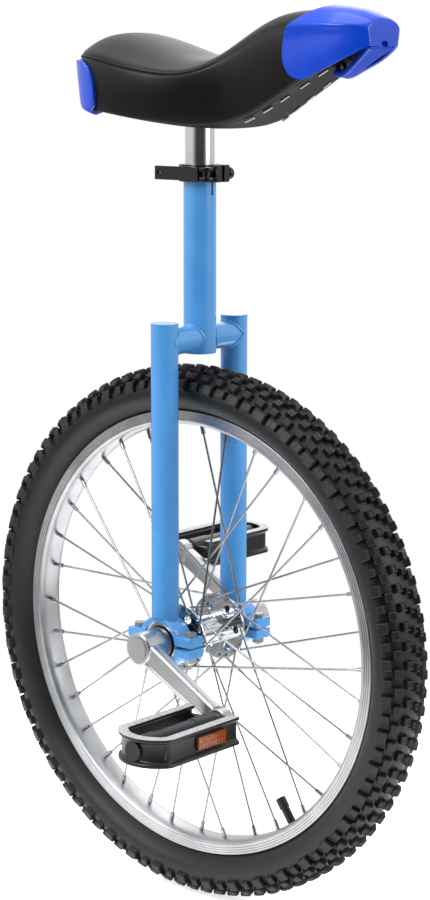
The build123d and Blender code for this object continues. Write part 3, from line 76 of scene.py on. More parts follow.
def linear(hex_colour):
    """An sRGB hex colour as a linear colour with an alpha of 1."""
    parts = [int(hex_colour[place:place + 2], 16) / 255 for place in (1, 3, 5)]
    return tuple(c / 12.92 if c <= 0.04045 else ((c + 0.055) / 1.055) ** 2.4 for c in parts) + (1.0,)


def add_node(tree, kind, settings=None, links=None):
    """Adds a node. Settings with lower-case names are the node's own, the others are its inputs."""
    node = tree.nodes.new(kind)
    for key, value in (settings or {}).items():
        if isinstance(key, str) and key[0].islower():
            setattr(node, key, value)
        else:
            node.inputs[key].default_value = value
    for key, source in (links or {}).items():
        tree.links.new(source, node.inputs[key])
    return node


# tint and gloss drift slowly over every made surface, in patches about 45 mm across
DRIFT_SCALE = 22.0


def surface(name, dark, light, roughness, metallic=0.0, grain=1.0, relief=0.02, uneven=0.08):
    """A material whose colour wanders between two, with a grain that is grain mm wide and relief mm deep."""
    material = bpy.data.materials.new(name)
    material.use_nodes = True
    tree = material.node_tree
    shader = tree.nodes["Principled BSDF"]
    shader.inputs["Metallic"].default_value = metallic
    place = add_node(tree, "ShaderNodeTexCoord")
    drift = add_node(tree, "ShaderNodeTexNoise", {"Scale": DRIFT_SCALE, "Detail": 3.0},
                     {"Vector": place.outputs["Object"]})
    tint = add_node(tree, "ShaderNodeValToRGB", {}, {"Fac": drift.outputs["Fac"]})
    tint.color_ramp.elements[0].position = 0.3
    tint.color_ramp.elements[0].color = linear(dark)
    tint.color_ramp.elements[1].position = 0.7
    tint.color_ramp.elements[1].color = linear(light)
    tree.links.new(tint.outputs["Color"], shader.inputs["Base Color"])
    fine = add_node(tree, "ShaderNodeTexNoise", {"Scale": 1 / (grain * MM), "Detail": 2.0},
                    {"Vector": place.outputs["Object"]})
    gloss = add_node(tree, "ShaderNodeMapRange", {"To Min": roughness - uneven, "To Max": roughness + uneven},
                     {"Value": drift.outputs["Fac"]})
    tree.links.new(gloss.outputs["Result"], shader.inputs["Roughness"])
    bump = add_node(tree, "ShaderNodeBump", {"Strength": 1.0, "Distance": relief * MM},
                    {"Height": fine.outputs["Fac"]})
    bump.name = "grain"
    tree.links.new(bump.outputs["Normal"], shader.inputs["Normal"])
    return material


SHARP_ANGLE = math.radians(32)


def piece_from(mesh, name, material, body, slot, *stands_for):
    """Makes a bmesh into a smooth-shaded piece that rides on a body and may stand for CAD nodes."""
    bmesh.ops.recalc_face_normals(mesh, faces=mesh.faces)
    data = bpy.data.meshes.new(name)
    mesh.to_mesh(data)
    mesh.free()
    data.materials.append(material)
    data.polygons.foreach_set("use_smooth", [True] * len(data.polygons))
    data.set_sharp_from_angle(angle=SHARP_ANGLE)
    piece = bpy.data.objects.new(name, data)
    scene.collection.objects.link(piece)
    if body is None:
        return piece
    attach(piece, body)
    if stands_for:
        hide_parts(*stands_for)
    return piece


# calendered vinyl sheet: matt white, lit a little from within so that it runs into the background
floor_vinyl = surface("white_vinyl_sheet", "#F2F2F2", "#F6F6F6", 0.8, grain=3.0, relief=0.01)
floor_shader = floor_vinyl.node_tree.nodes["Principled BSDF"]
floor_shader.inputs["Emission Color"].default_value = linear("#FFFFFF")
floor_shader.inputs["Emission Strength"].default_value = 0.7
floor_mesh = bmesh.new()
bmesh.ops.create_circle(floor_mesh, cap_ends=True, segments=96, radius=FLOOR_RADIUS)
piece_from(floor_mesh, "studio_floor", floor_vinyl, None, None)

# a Mix node's colour sockets share their names with its other sockets, so they are taken by place
MIX_FIRST, MIX_SECOND, MIX_RESULT = 6, 7, 2
world = bpy.data.worlds.new("studio_room")
scene.world = world
world.use_nodes = True
room = world.node_tree
room_place = add_node(room, "ShaderNodeTexCoord")
room_side = add_node(room, "ShaderNodeVectorMath", {"operation": "DOT_PRODUCT", 1: towards_camera},
                     {0: room_place.outputs["Generated"]})
room_shade = add_node(room, "ShaderNodeValToRGB", {}, {"Fac": room_side.outputs["Value"]})
room_shade.color_ramp.elements[0].position = 0.45
room_shade.color_ramp.elements[0].color = linear("#F4F4F4")
room_shade.color_ramp.elements[1].position = 0.86
room_shade.color_ramp.elements[1].color = linear("#4A4A4C")
room_height = add_node(room, "ShaderNodeSeparateXYZ", {}, {"Vector": room_place.outputs["Generated"]})
room_rise = add_node(room, "ShaderNodeMapRange", {"From Min": -0.22, "From Max": 0.02, "To Min": 0.3},
                     {"Value": room_height.outputs["Z"]})
room_walls = add_node(room, "ShaderNodeVectorMath", {"operation": "SCALE"},
                      {0: room_shade.outputs["Color"], "Scale": room_rise.outputs["Result"]})
room_sight = add_node(room, "ShaderNodeLightPath")
room_mix = add_node(room, "ShaderNodeMix", {"data_type": "RGBA", MIX_SECOND: linear("#FFFFFF")},
                    {"Factor": room_sight.outputs["Is Camera Ray"], MIX_FIRST: room_walls.outputs["Vector"]})
room.links.new(room_mix.outputs[MIX_RESULT], room.nodes["Background"].inputs["Color"])
room.nodes["Background"].inputs["Strength"].default_value = 1.0

# each lamp: how far it stands towards the camera, to its right and above the aim, its size, and watts
for name, along, across, height, size, power in (
    ("key_lamp", 1.3, -1.7, 1.3, 1.3, 38),
    ("fill_lamp", 1.0, 2.1, 0.7, 1.5, 22),
    ("top_lamp", 0.0, 0.0, 2.4, 1.8, 20),
    ("back_lamp", -2.0, 0.6, 1.4, 1.4, 9),
):
    lamp_data = bpy.data.lights.new(name, "AREA")
    lamp_data.size = size
    lamp_data.energy = power
    lamp = bpy.data.objects.new(name, lamp_data)
    scene.collection.objects.link(lamp)
    lamp.location = AIM + along * towards_camera + across * rightwards + height * UP
    lamp.rotation_euler = (AIM - lamp.location).to_track_quat("-Z", "Y").to_euler()

# Frame: two straight steel legs, two short crown tubes and a seat tube, brazed together, then dipped
# and baked in one coat of gloss blue enamel. Pressed holders and caps clamp the bearings to the legs.
# gloss baked enamel: even colour, a hard clear shine and a faint orange-peel ripple
blue_enamel = surface("gloss_blue_enamel", "#4C9CE4", "#58A7EC", 0.26, grain=2.2, relief=0.012, uneven=0.04)
blue_enamel.node_tree.nodes["Principled BSDF"].inputs["Coat Weight"].default_value = 0.8
blue_enamel.node_tree.nodes["Principled BSDF"].inputs["Coat Roughness"].default_value = 0.08
AXLE_Z = sum(corner.z for corner in map(Vector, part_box("tyre"))) / 2
AXLE = Vector((0, 0, AXLE_Z))


def coat(material, *nodes):
    """Gives CAD nodes a material."""
    for name in nodes:
        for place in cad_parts[name].material_slots:
            place.material = material


WELD_DISTANCE = 0.002
EDGE_ANGLE = math.radians(35)


def soften(width, *nodes):
    """Rounds the edges of CAD nodes by width mm, as casting, pressing or turning leaves them."""
    for name in nodes:
        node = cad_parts[name]
        weld = node.modifiers.new("weld", "WELD")
        weld.merge_threshold = WELD_DISTANCE * MM
        rounding = node.modifiers.new("rounding", "BEVEL")
        rounding.width = width * MM
        rounding.segments = 2
        rounding.limit_method = "ANGLE"
        rounding.angle_limit = EDGE_ANGLE
        rounding.harden_normals = True


PRESSED_PARTS = ("right_bearing_holder", "left_bearing_holder", "right_bearing_cap", "left_bearing_cap",
                 "leg_caps")
coat(blue_enamel, "seat_tube", "crown_tubes", "right_leg", "left_leg", *PRESSED_PARTS)
soften(0.8, *PRESSED_PARTS)

# Plated steel hardware: bolts, nuts, screws, studs and staples are bright zinc, the spokes stainless
# wire, and the spindles and cones turned steel.
# bright zinc: slightly cool and a little cloudy
bright_zinc = surface("bright_zinc_plate", "#A6A9AC", "#C0C2C4", 0.30, 1.0, grain=0.8, relief=0.006)
# stainless wire: drawn smooth, so it is nearly a mirror along its length
stainless_wire = surface("drawn_stainless_wire", "#8E9092", "#AFB1B3", 0.22, 1.0, grain=0.5, relief=0.004)
coat(bright_zinc, "holder_bolts", "holder_nuts", "saddle_studs", "saddle_nuts", "crank_bolts", "pedal_cones",
     "rim_joint_sleeve", "seatpost_plate", "right_pedal_spindle", "left_pedal_spindle")
coat(stainless_wire, "right_spokes", "left_spokes", "nipples")
soften(0.5, "holder_bolts", "holder_nuts", "right_pedal_spindle", "left_pedal_spindle")

# Hub and bearings: a chromed steel hub with a drilled flange at each end, in two sealed ball bearings
# whose races are ground bearing steel behind black rubber seals.
# chrome plate: a mirror with the faintest polishing haze
chrome = surface("bright_chrome_plate", "#D2D4D6", "#E2E4E6", 0.10, 1.0, grain=3.0, relief=0.004, uneven=0.03)
# nitrile rubber: black and semi-matt, as the tube, the tape and the valve's sleeve are too
black_seal = surface("nitrile_seal_rubber", "#0D0D0E", "#151516", 0.5, grain=0.4, relief=0.01)
coat(chrome, "hub", "bearing_inner_races", "bearing_outer_races", "right_bearing_balls", "left_bearing_balls",
     "right_pedal_balls", "left_pedal_balls")
coat(black_seal, "bearing_seals", "right_bearing_cage", "left_bearing_cage", "inner_tube", "rim_tape",
     "valve_stem", "valve_cap")
soften(0.5, "hub", "valve_cap")

# Dust caps: light grey plastic buttons, moulded, and pressed into the outer end of each crank's boss
# over the bolt that holds the crank to the axle.
# moulded polypropylene: light grey, semi-matt
grey_cap_plastic = surface("light_grey_polypropylene", "#908F92", "#9C9B9E", 0.42, grain=0.6, relief=0.01)
coat(grey_cap_plastic, "dust_caps")
soften(0.6, "dust_caps")

# Tyre: black butyl-blend rubber moulded over a cord carcass, smooth on its walls but for a few
# moulded rings, with rows of square-cut blocks round the tread that alternate long and short.
TREAD_COUNT = 92
TYRE_HALF_WIDTH = 25.8
WALL_CENTRE_RADIUS = 232.5
CROWN_RISE = 18.6
WALL_DROP = 19.9
BEAD_HALF_WIDTH = 12.1
BEAD_RADIUS = 203.2
WALL_START = -59
RING_ANGLES = (-54, -48, -42, 2, 8)
RING_HEIGHT = 0.5
WALL_THICKNESS = 3.5
BEAD_THICKNESS = 2.4
MERGE_DISTANCE = 0.001
# carbon-black tyre rubber: near black, dull with a faint bloom, and a fine mould grain
tyre_rubber = surface("carbon_black_tyre_rubber", "#070707", "#0F0F0F", 0.5, grain=0.7, relief=0.03)


def carcass_point(angle):
    """Where the tyre's wall is at an angle of its section, as (Y, radius) in mm."""
    rise = CROWN_RISE if angle > 0 else WALL_DROP
    ring = RING_HEIGHT if angle in RING_ANGLES else 0.0
    return ((TYRE_HALF_WIDTH + ring) * math.cos(math.radians(angle)),
            WALL_CENTRE_RADIUS + rise * math.sin(math.radians(angle)))


def spun_ring(mesh, outline, steps):
    """Spins a closed outline of (Y, radius) points in mm right round the axle."""
    corners = [mesh.verts.new((0, y * MM, AXLE_Z + radius * MM)) for y, radius in outline]
    edges = [mesh.edges.new((corners[i - 1], corners[i])) for i in range(len(corners))]
    bmesh.ops.spin(mesh, geom=corners + edges, cent=AXLE, axis=(0, 1, 0), angle=math.tau, steps=steps,
                   use_merge=True)
    bmesh.ops.remove_doubles(mesh, verts=mesh.verts, dist=MERGE_DISTANCE * MM)


tyre_mesh = bmesh.new()
bead_toe = BEAD_HALF_WIDTH - BEAD_THICKNESS
half_outline = [(bead_toe, BEAD_RADIUS), (BEAD_HALF_WIDTH, BEAD_RADIUS), (BEAD_HALF_WIDTH, 214.4)]
half_outline += [carcass_point(angle) for angle in range(WALL_START, 90, 2)]
inner_outline = [(bead_toe, 219), (TYRE_HALF_WIDTH - WALL_THICKNESS, 233), (14, 247)]
spun_ring(tyre_mesh, half_outline + [(-y, r) for y, r in reversed(half_outline)]
          + [(-y, r) for y, r in inner_outline] + list(reversed(inner_outline)), 184)


# each row of blocks: its angle in the section, the blocks' length, width and height in mm, how far it is
# shifted in blocks, whether each face has a dimple, and which blocks it has: one in so many, from which
TREAD_ROWS = (
    (22, 11.5, 11.0, 4.6, 0.0, False, 2, 0),
    (24, 8.0, 8.5, 3.9, 0.0, False, 2, 1),
    (47, 9.5, 8.0, 5.2, 0.45, False, 1, 0),
    (71, 8.6, 7.4, 5.2, 0.1, True, 1, 0),
)
MIDDLE_ROW = (89.9, 6.5, 6.0, 5.0, 0.35, True, 1, 0)
BLOCK_TAPER = 0.84
BLOCK_CHAMFER = 0.7


def tread_blocks(mesh, side, lag, row):
    """Adds one row of tapered blocks round the tyre, their roots 2 mm down in its wall."""
    wall_angle, length, width, height, shift, dimple, every, start = row
    y, radius = carcass_point(wall_angle)
    block = bmesh.new()
    bmesh.ops.create_cube(block, size=1)
    bmesh.ops.scale(block, vec=(length * MM, width * MM, (height + 2) * MM), verts=block.verts)
    bmesh.ops.translate(block, vec=(0, 0, (height / 2 - 1) * MM), verts=block.verts)
    top = [v for v in block.verts if v.co.z > 0]
    bmesh.ops.scale(block, vec=(BLOCK_TAPER, BLOCK_TAPER, 1), verts=top)
    top_face = max(block.faces, key=lambda f: f.calc_center_median().z)
    bmesh.ops.bevel(block, geom=list(top_face.edges), offset=BLOCK_CHAMFER * MM, offset_type="OFFSET",
                    segments=1, profile=0.5, affect="EDGES", material=-1)
    if dimple:
        top_face = max(block.faces, key=lambda f: f.calc_center_median().z)
        bmesh.ops.inset_individual(block, faces=[top_face], thickness=1.7 * MM, depth=-1.0 * MM)
    lean = Matrix.Rotation(-side * math.radians(90 - wall_angle), 4, "X")
    seat = Matrix.Translation((0, side * y * MM, AXLE_Z + radius * MM)) @ lean
    bmesh.ops.transform(block, matrix=seat, verts=block.verts)
    shape = bpy.data.meshes.new("tread_block")
    block.to_mesh(shape)
    block.free()
    for index in range(start, TREAD_COUNT, every):
        turn = Matrix.Rotation(math.tau * (index + (lag + shift)) / TREAD_COUNT, 4, "Y")
        about_axle = Matrix.Translation(AXLE) @ turn @ Matrix.Translation(-AXLE)
        turned = shape.copy()
        turned.transform(about_axle)
        mesh.from_mesh(turned)
        bpy.data.meshes.remove(turned)
    bpy.data.meshes.remove(shape)


bmesh.ops.recalc_face_normals(tyre_mesh, faces=tyre_mesh.faces)
for side in (-1, 1):
    lag = 0.5 if side > 0 else 0.0
    for row in TREAD_ROWS:
        tread_blocks(tyre_mesh, side, lag, row)
tread_blocks(tyre_mesh, 1, 0.0, MIDDLE_ROW)
piece_from(tyre_mesh, "moulded_tyre", tyre_rubber, "wheel", "tyre_rubber", "tyre")

# Rim: extruded aluminium rolled into a hoop, its side walls machined bright with three wear grooves,
# its spoke bed left with the satin of the extrusion.
RIM_HALF_WIDTH = 13.8
GROOVE_RADII = (211.4, 209.2, 207.0)
GROOVE_HALF_WIDTH = 0.35
GROOVE_DEPTH = 0.45
TURNED_RING_PITCH = 0.5
TURNED_RING_DEPTH = 0.015
# rolled and machined aluminium: turned rings round the hoop, which are finer on a real rim than the
# 0.5 mm that shows here, and cloudy satin between them
rim_aluminium = surface("machined_aluminium", "#ABACAE", "#C6C7C9", 0.36, 1.0, grain=1.6, relief=0.02,
                        uneven=0.06)
rim_tree = rim_aluminium.node_tree
rim_place = add_node(rim_tree, "ShaderNodeTexCoord")
rim_split = add_node(rim_tree, "ShaderNodeSeparateXYZ", {}, {"Vector": rim_place.outputs["Object"]})
rim_height = add_node(rim_tree, "ShaderNodeMath", {"operation": "SUBTRACT", 1: AXLE_Z},
                      {0: rim_split.outputs["Z"]})
rim_flat = add_node(rim_tree, "ShaderNodeCombineXYZ", {},
                    {"X": rim_split.outputs["X"], "Y": rim_height.outputs[0]})
rim_radius = add_node(rim_tree, "ShaderNodeVectorMath", {"operation": "LENGTH"}, {0: rim_flat.outputs[0]})
rim_rings = add_node(rim_tree, "ShaderNodeTexNoise",
                     {"noise_dimensions": "1D", "Scale": 1 / (TURNED_RING_PITCH * MM)},
                     {"W": rim_radius.outputs["Value"]})
rim_bump = add_node(rim_tree, "ShaderNodeBump", {"Distance": TURNED_RING_DEPTH * MM},
                    {"Height": rim_rings.outputs["Fac"], "Normal": rim_tree.nodes["grain"].outputs["Normal"]})
rim_tree.links.new(rim_bump.outputs["Normal"], rim_tree.nodes["Principled BSDF"].inputs["Normal"])

# half the rim's section as (Y, radius): inside of the flange, its lip, the grooved wall, the spoke bed
rim_outline = [(12.2, 203.4), (12.2, 213.3), (12.6, 213.9), (13.3, 214.0), (RIM_HALF_WIDTH, 213.4)]
for groove in GROOVE_RADII:
    rim_outline += [(RIM_HALF_WIDTH, groove + GROOVE_HALF_WIDTH), (RIM_HALF_WIDTH - GROOVE_DEPTH, groove),
                    (RIM_HALF_WIDTH, groove - GROOVE_HALF_WIDTH)]
rim_outline += [(RIM_HALF_WIDTH, 204.6), (13.2, 203.0), (11.6, 201.6), (9.6, 200.6), (6.0, 199.9)]
well_outline = [(8.0, 203.0), (8.0, 201.0)]
rim_mesh = bmesh.new()
spun_ring(rim_mesh, list(reversed(well_outline)) + rim_outline + [(-y, r) for y, r in reversed(rim_outline)]
          + [(-y, r) for y, r in well_outline], 180)
piece_from(rim_mesh, "machined_rim", rim_aluminium, "wheel", "rim_alloy", "rim")

# Seatpost and its clamp: a chromed steel post that slides in the seat tube, held by a cast collar with
# a cam lever, all powder coated black.
# black powder coat: satin with a fine pebble
black_powder = surface("black_powder_coat", "#060606", "#0C0C0D", 0.34, grain=0.5, relief=0.02)
coat(chrome, "seatpost")
coat(black_powder, "clamp_collar", "clamp_lever", "clamp_nut", "clamp_washer", "clamp_skewer")
coat(bright_zinc, "clamp_pivot_pin")
soften(1.0, "clamp_collar", "clamp_lever", "clamp_nut")

# Cranks: each is one aluminium forging, tumbled and lacquered: a round boss on the axle, a tapered arm
# with a channel pressed into its outer face, and a round eye for the pedal, further out than the boss.
CRANK_LENGTH = 114
CRANK_TURN = math.radians(-24)
BOSS_RADIUS = 15
BOSS_SPAN = (55.6, 86.9)
EYE_RADIUS = 12.4
EYE_SPAN = (84.1, 95.9)
TAPER_HOLE_RADIUS = 8.6
CAP_SEAT_RADIUS = 11.1
CAP_SEAT_DEPTH = 1.9
SPINDLE_HOLE_RADIUS = 7.1
INNER_CHAMFER = 0.8
OUTER_CHAMFER = 1.4
EYE_CHAMFER = 1.2
ARM_ROOT_DEPTH = 12
ARM_ROOT_HALF_HEIGHT = 11.4
ARM_TIP_HALF_HEIGHT = 9.2
ARM_EDGE_RADIUS = 2.6
CHANNEL_MARGIN = 1.6
CHANNEL_SLOPE = 0.9
CHANNEL_DEPTH = 1.1
# satin forged aluminium: bright, with a soft spread of light and a very fine tumbled grain
forged_aluminium = surface("satin_forged_aluminium", "#B9B9BB", "#C9C9CB", 0.33, 1.0, grain=0.5, relief=0.01)


def turned_ring(mesh, outline, centre_x, steps):
    """Spins a closed outline of (radius, distance out) in mm about the line along Y through centre_x."""
    corners = [mesh.verts.new(((centre_x + radius) * MM, out * MM, 0)) for radius, out in outline]
    edges = [mesh.edges.new((corners[i - 1], corners[i])) for i in range(len(corners))]
    bmesh.ops.spin(mesh, geom=corners + edges, cent=(centre_x * MM, 0, 0), axis=(0, 1, 0), angle=math.tau,
                   steps=steps, use_merge=True)
    bmesh.ops.remove_doubles(mesh, verts=mesh.verts, dist=MERGE_DISTANCE * MM)


for side, sign in (("right", -1), ("left", 1)):
    crank_mesh = bmesh.new()
    low, high = BOSS_SPAN
    turned_ring(crank_mesh, [
        (TAPER_HOLE_RADIUS, low), (BOSS_RADIUS - INNER_CHAMFER, low), (BOSS_RADIUS, low + INNER_CHAMFER),
        (BOSS_RADIUS, high - OUTER_CHAMFER), (BOSS_RADIUS - OUTER_CHAMFER, high), (CAP_SEAT_RADIUS, high),
        (CAP_SEAT_RADIUS, high - CAP_SEAT_DEPTH), (TAPER_HOLE_RADIUS, high - CAP_SEAT_DEPTH),
    ], 0, 48)
    low, high = EYE_SPAN
    turned_ring(crank_mesh, [
        (SPINDLE_HOLE_RADIUS, low), (EYE_RADIUS - EYE_CHAMFER, low), (EYE_RADIUS, low + EYE_CHAMFER),
        (EYE_RADIUS, high - EYE_CHAMFER), (EYE_RADIUS - EYE_CHAMFER, high), (SPINDLE_HOLE_RADIUS, high),
    ], CRANK_LENGTH, 40)
    arm = bmesh.new()
    bmesh.ops.create_cube(arm, size=1)
    for corner in arm.verts:
        at_eye, outer = corner.co.x > 0, corner.co.y > 0
        span = EYE_SPAN if at_eye else (BOSS_SPAN[1] - ARM_ROOT_DEPTH, BOSS_SPAN[1])
        half = ARM_TIP_HALF_HEIGHT if at_eye else ARM_ROOT_HALF_HEIGHT
        corner.co = Vector((
            CRANK_LENGTH - EYE_RADIUS + 3 if at_eye else BOSS_RADIUS - 2.5,
            span[1] - 0.6 if outer else span[0] + 0.4,
            half * (1 if corner.co.z > 0 else -1),
        )) * MM
    long_edges = [e for e in arm.edges if abs((e.verts[0].co - e.verts[1].co).x) > 50 * MM]
    bmesh.ops.bevel(arm, geom=long_edges, offset=ARM_EDGE_RADIUS * MM, offset_type="OFFSET", segments=4,
                    profile=0.5, affect="EDGES", material=-1)
    outer_face = max(arm.faces, key=lambda f: f.calc_center_median().y)
    bmesh.ops.inset_individual(arm, faces=[outer_face], thickness=CHANNEL_MARGIN * MM, depth=0)
    bmesh.ops.inset_individual(arm, faces=[outer_face], thickness=CHANNEL_SLOPE * MM,
                               depth=-CHANNEL_DEPTH * MM)
    arm_data = bpy.data.meshes.new("arm")
    arm.to_mesh(arm_data)
    arm.free()
    crank_mesh.from_mesh(arm_data)
    bpy.data.meshes.remove(arm_data)
    about = math.pi if sign > 0 else 0.0
    swing = Matrix.Translation(AXLE) @ Matrix.Rotation(-CRANK_TURN + about, 4, "Y")
    flip = Matrix.Diagonal((1, sign, 1, 1))
    bmesh.ops.transform(crank_mesh, matrix=swing @ flip, verts=crank_mesh.verts)
    piece_from(crank_mesh, f"{side}_forged_crank", forged_aluminium, "wheel", "forged_alloy",
               f"{side}_crank")

# Pedals: each is one black nylon moulding, two I-section rails joined round a bowed outer end, with the
# bearing barrel down its middle; the tops of the rails are scuffed grey, and each side holds a reflector.
PEDAL_HALF_WIDTH = 31
RAIL_HALF_WIDTH = 4.5
RAIL_LINE = PEDAL_HALF_WIDTH - RAIL_HALF_WIDTH
PEDAL_SPAN = (100.2, 207)
PEDAL_HALF_HEIGHT = 13
MOULDED_EDGE = 0.7
LIP_HEIGHT = 3.6
LIP_FILLET = 0.5
CORNER_TURN = math.radians(35.4)
CORNER_RADIUS = 6
BOW_RADIUS = (RAIL_LINE - CORNER_RADIUS + CORNER_RADIUS * math.cos(CORNER_TURN)) / math.cos(CORNER_TURN)
# the barrel's section as (radius, distance out), with a collar at each end
BARREL_OUTLINE = [(8.7, 101), (10.2, 101), (11, 101.8), (11, 128), (10.2, 129), (10.2, 176), (11, 177),
                  (11, 199), (8.7, 199)]
# each pair of webs between the barrel and the rails: where it starts and ends, and half its height
WEBS = ((101.2, 107, 5.5), (186, 192, 7))
WEB_REACH = (10.5, PEDAL_HALF_WIDTH - 5)
SCUFF_SCALE = 260.0
SCUFF_DEPTH = 0.5
# glass-filled nylon: black and semi-matt, worn to a dusty grey where shoes rub the tops of the rails
black_nylon = surface("glass_filled_nylon", "#050505", "#0B0B0C", 0.34, grain=0.6, relief=0.02)
pedal_pairs = (("right", -1, math.cos(CRANK_TURN), math.sin(CRANK_TURN)),
               ("left", 1, -math.cos(CRANK_TURN), -math.sin(CRANK_TURN)))
nylon_tree = black_nylon.node_tree
nylon_place = add_node(nylon_tree, "ShaderNodeTexCoord")
nylon_split = add_node(nylon_tree, "ShaderNodeSeparateXYZ", {}, {"Vector": nylon_place.outputs["Object"]})
worn = None
for side, sign, along, rise in pedal_pairs:
    drop = add_node(nylon_tree, "ShaderNodeMath",
                    {"operation": "SUBTRACT", 1: AXLE_Z + CRANK_LENGTH * MM * rise},
                    {0: nylon_split.outputs["Z"]})
    height = add_node(nylon_tree, "ShaderNodeMath", {"operation": "ABSOLUTE"}, {0: drop.outputs[0]})
    near_top = add_node(nylon_tree, "ShaderNodeMath",
                        {"operation": "COMPARE", 1: PEDAL_HALF_HEIGHT * MM, 2: SCUFF_DEPTH * MM},
                        {0: height.outputs[0]})
    if worn:
        worn = add_node(nylon_tree, "ShaderNodeMath", {"operation": "MAXIMUM"},
                        {0: worn.outputs[0], 1: near_top.outputs[0]})
    else:
        worn = near_top
scuff_noise = add_node(nylon_tree, "ShaderNodeTexNoise",
                       {"Scale": SCUFF_SCALE, "Detail": 5.0, "Roughness": 0.7},
                       {"Vector": nylon_place.outputs["Object"]})
scuff_range = add_node(nylon_tree, "ShaderNodeMapRange", {"From Min": 0.22, "From Max": 0.5},
                       {"Value": scuff_noise.outputs["Fac"]})
scuffed = add_node(nylon_tree, "ShaderNodeMath", {"operation": "MULTIPLY"},
                   {0: worn.outputs[0], 1: scuff_range.outputs["Result"]})
nylon_shader = nylon_tree.nodes["Principled BSDF"]
nylon_black = nylon_shader.inputs["Base Color"].links[0].from_socket
nylon_mix = add_node(nylon_tree, "ShaderNodeMix", {"data_type": "RGBA", MIX_SECOND: linear("#BDBEBF")},
                     {"Factor": scuffed.outputs[0], MIX_FIRST: nylon_black})
nylon_tree.links.new(nylon_mix.outputs[MIX_RESULT], nylon_shader.inputs["Base Color"])

for side, sign, along, rise in pedal_pairs:
    pedal_mesh = bmesh.new()
    lip_z = PEDAL_HALF_HEIGHT - LIP_HEIGHT
    section = [
        (-RAIL_HALF_WIDTH, PEDAL_HALF_HEIGHT), (RAIL_HALF_WIDTH, PEDAL_HALF_HEIGHT),
        (RAIL_HALF_WIDTH, lip_z + LIP_FILLET), (1.6, lip_z - 1.6), (0.8, 0), (1.6, 1.6 - lip_z),
        (RAIL_HALF_WIDTH, -lip_z - LIP_FILLET), (RAIL_HALF_WIDTH, -PEDAL_HALF_HEIGHT),
        (-RAIL_HALF_WIDTH, -PEDAL_HALF_HEIGHT), (-RAIL_HALF_WIDTH, -lip_z - LIP_FILLET),
        (-1.6, 1.2 - lip_z), (-1.6, lip_z - 1.2), (-RAIL_HALF_WIDTH, lip_z + LIP_FILLET),
    ]
    start = [pedal_mesh.verts.new(((RAIL_LINE + across) * MM, PEDAL_SPAN[0] * MM, up * MM))
             for across, up in section]
    loop = [pedal_mesh.edges.new((start[i - 1], start[i])) for i in range(len(start))]
    bow_y = PEDAL_SPAN[1] - RAIL_HALF_WIDTH - BOW_RADIUS
    bend_y = bow_y + (BOW_RADIUS - CORNER_RADIUS) * math.sin(CORNER_TURN)
    run = bmesh.ops.extrude_edge_only(pedal_mesh, edges=loop)["geom"]
    ends = [g for g in run if isinstance(g, bmesh.types.BMVert)]
    bmesh.ops.translate(pedal_mesh, verts=ends, vec=(0, (bend_y - PEDAL_SPAN[0]) * MM, 0))
    front = ends + [g for g in run if isinstance(g, bmesh.types.BMEdge)]
    for centre, turn, steps in (
        ((RAIL_LINE - CORNER_RADIUS, bend_y), CORNER_TURN, 5),
        ((0, bow_y), math.pi - 2 * CORNER_TURN, 18),
        ((CORNER_RADIUS - RAIL_LINE, bend_y), CORNER_TURN, 5),
    ):
        pivot = (centre[0] * MM, centre[1] * MM, 0)
        front = bmesh.ops.spin(pedal_mesh, geom=front, cent=pivot, axis=(0, 0, 1), angle=turn,
                               steps=steps)["geom_last"]
    last = [g for g in front if isinstance(g, bmesh.types.BMEdge)]
    run = bmesh.ops.extrude_edge_only(pedal_mesh, edges=last)["geom"]
    ends = [g for g in run if isinstance(g, bmesh.types.BMVert)]
    bmesh.ops.translate(pedal_mesh, verts=ends, vec=(0, (PEDAL_SPAN[0] - bend_y) * MM, 0))
    bmesh.ops.holes_fill(pedal_mesh, edges=[e for e in pedal_mesh.edges if e.is_boundary], sides=0)
    turned_ring(pedal_mesh, BARREL_OUTLINE, 0, 40)
    for low_x, high_x in ((-WEB_REACH[1], -WEB_REACH[0]), WEB_REACH):
        for low_y, high_y, half_z in WEBS:
            web = bmesh.ops.create_cube(pedal_mesh, size=1)["verts"]
            bmesh.ops.scale(pedal_mesh, verts=web,
                            vec=((high_x - low_x) * MM, (high_y - low_y) * MM, 2 * half_z * MM))
            bmesh.ops.translate(pedal_mesh, verts=web,
                                vec=((low_x + high_x) / 2 * MM, (low_y + high_y) / 2 * MM, 0))
    place = Matrix.Translation((CRANK_LENGTH * MM * along, 0, AXLE_Z + CRANK_LENGTH * MM * rise))
    bmesh.ops.transform(pedal_mesh, matrix=place @ Matrix.Diagonal((1, sign, 1, 1)), verts=pedal_mesh.verts)
    pedal = piece_from(pedal_mesh, f"{side}_pedal_moulding", black_nylon, f"{side}_pedal", "black_plastic",
                       f"{side}_pedal_body")
    rounding = pedal.modifiers.new("moulded_edges", "BEVEL")
    rounding.width = MOULDED_EDGE * MM
    rounding.segments = 2
    rounding.limit_method = "ANGLE"
    rounding.angle_limit = math.radians(40)
coat(black_nylon, "right_pedal_end_cap", "left_pedal_end_cap", "bumper_screws")

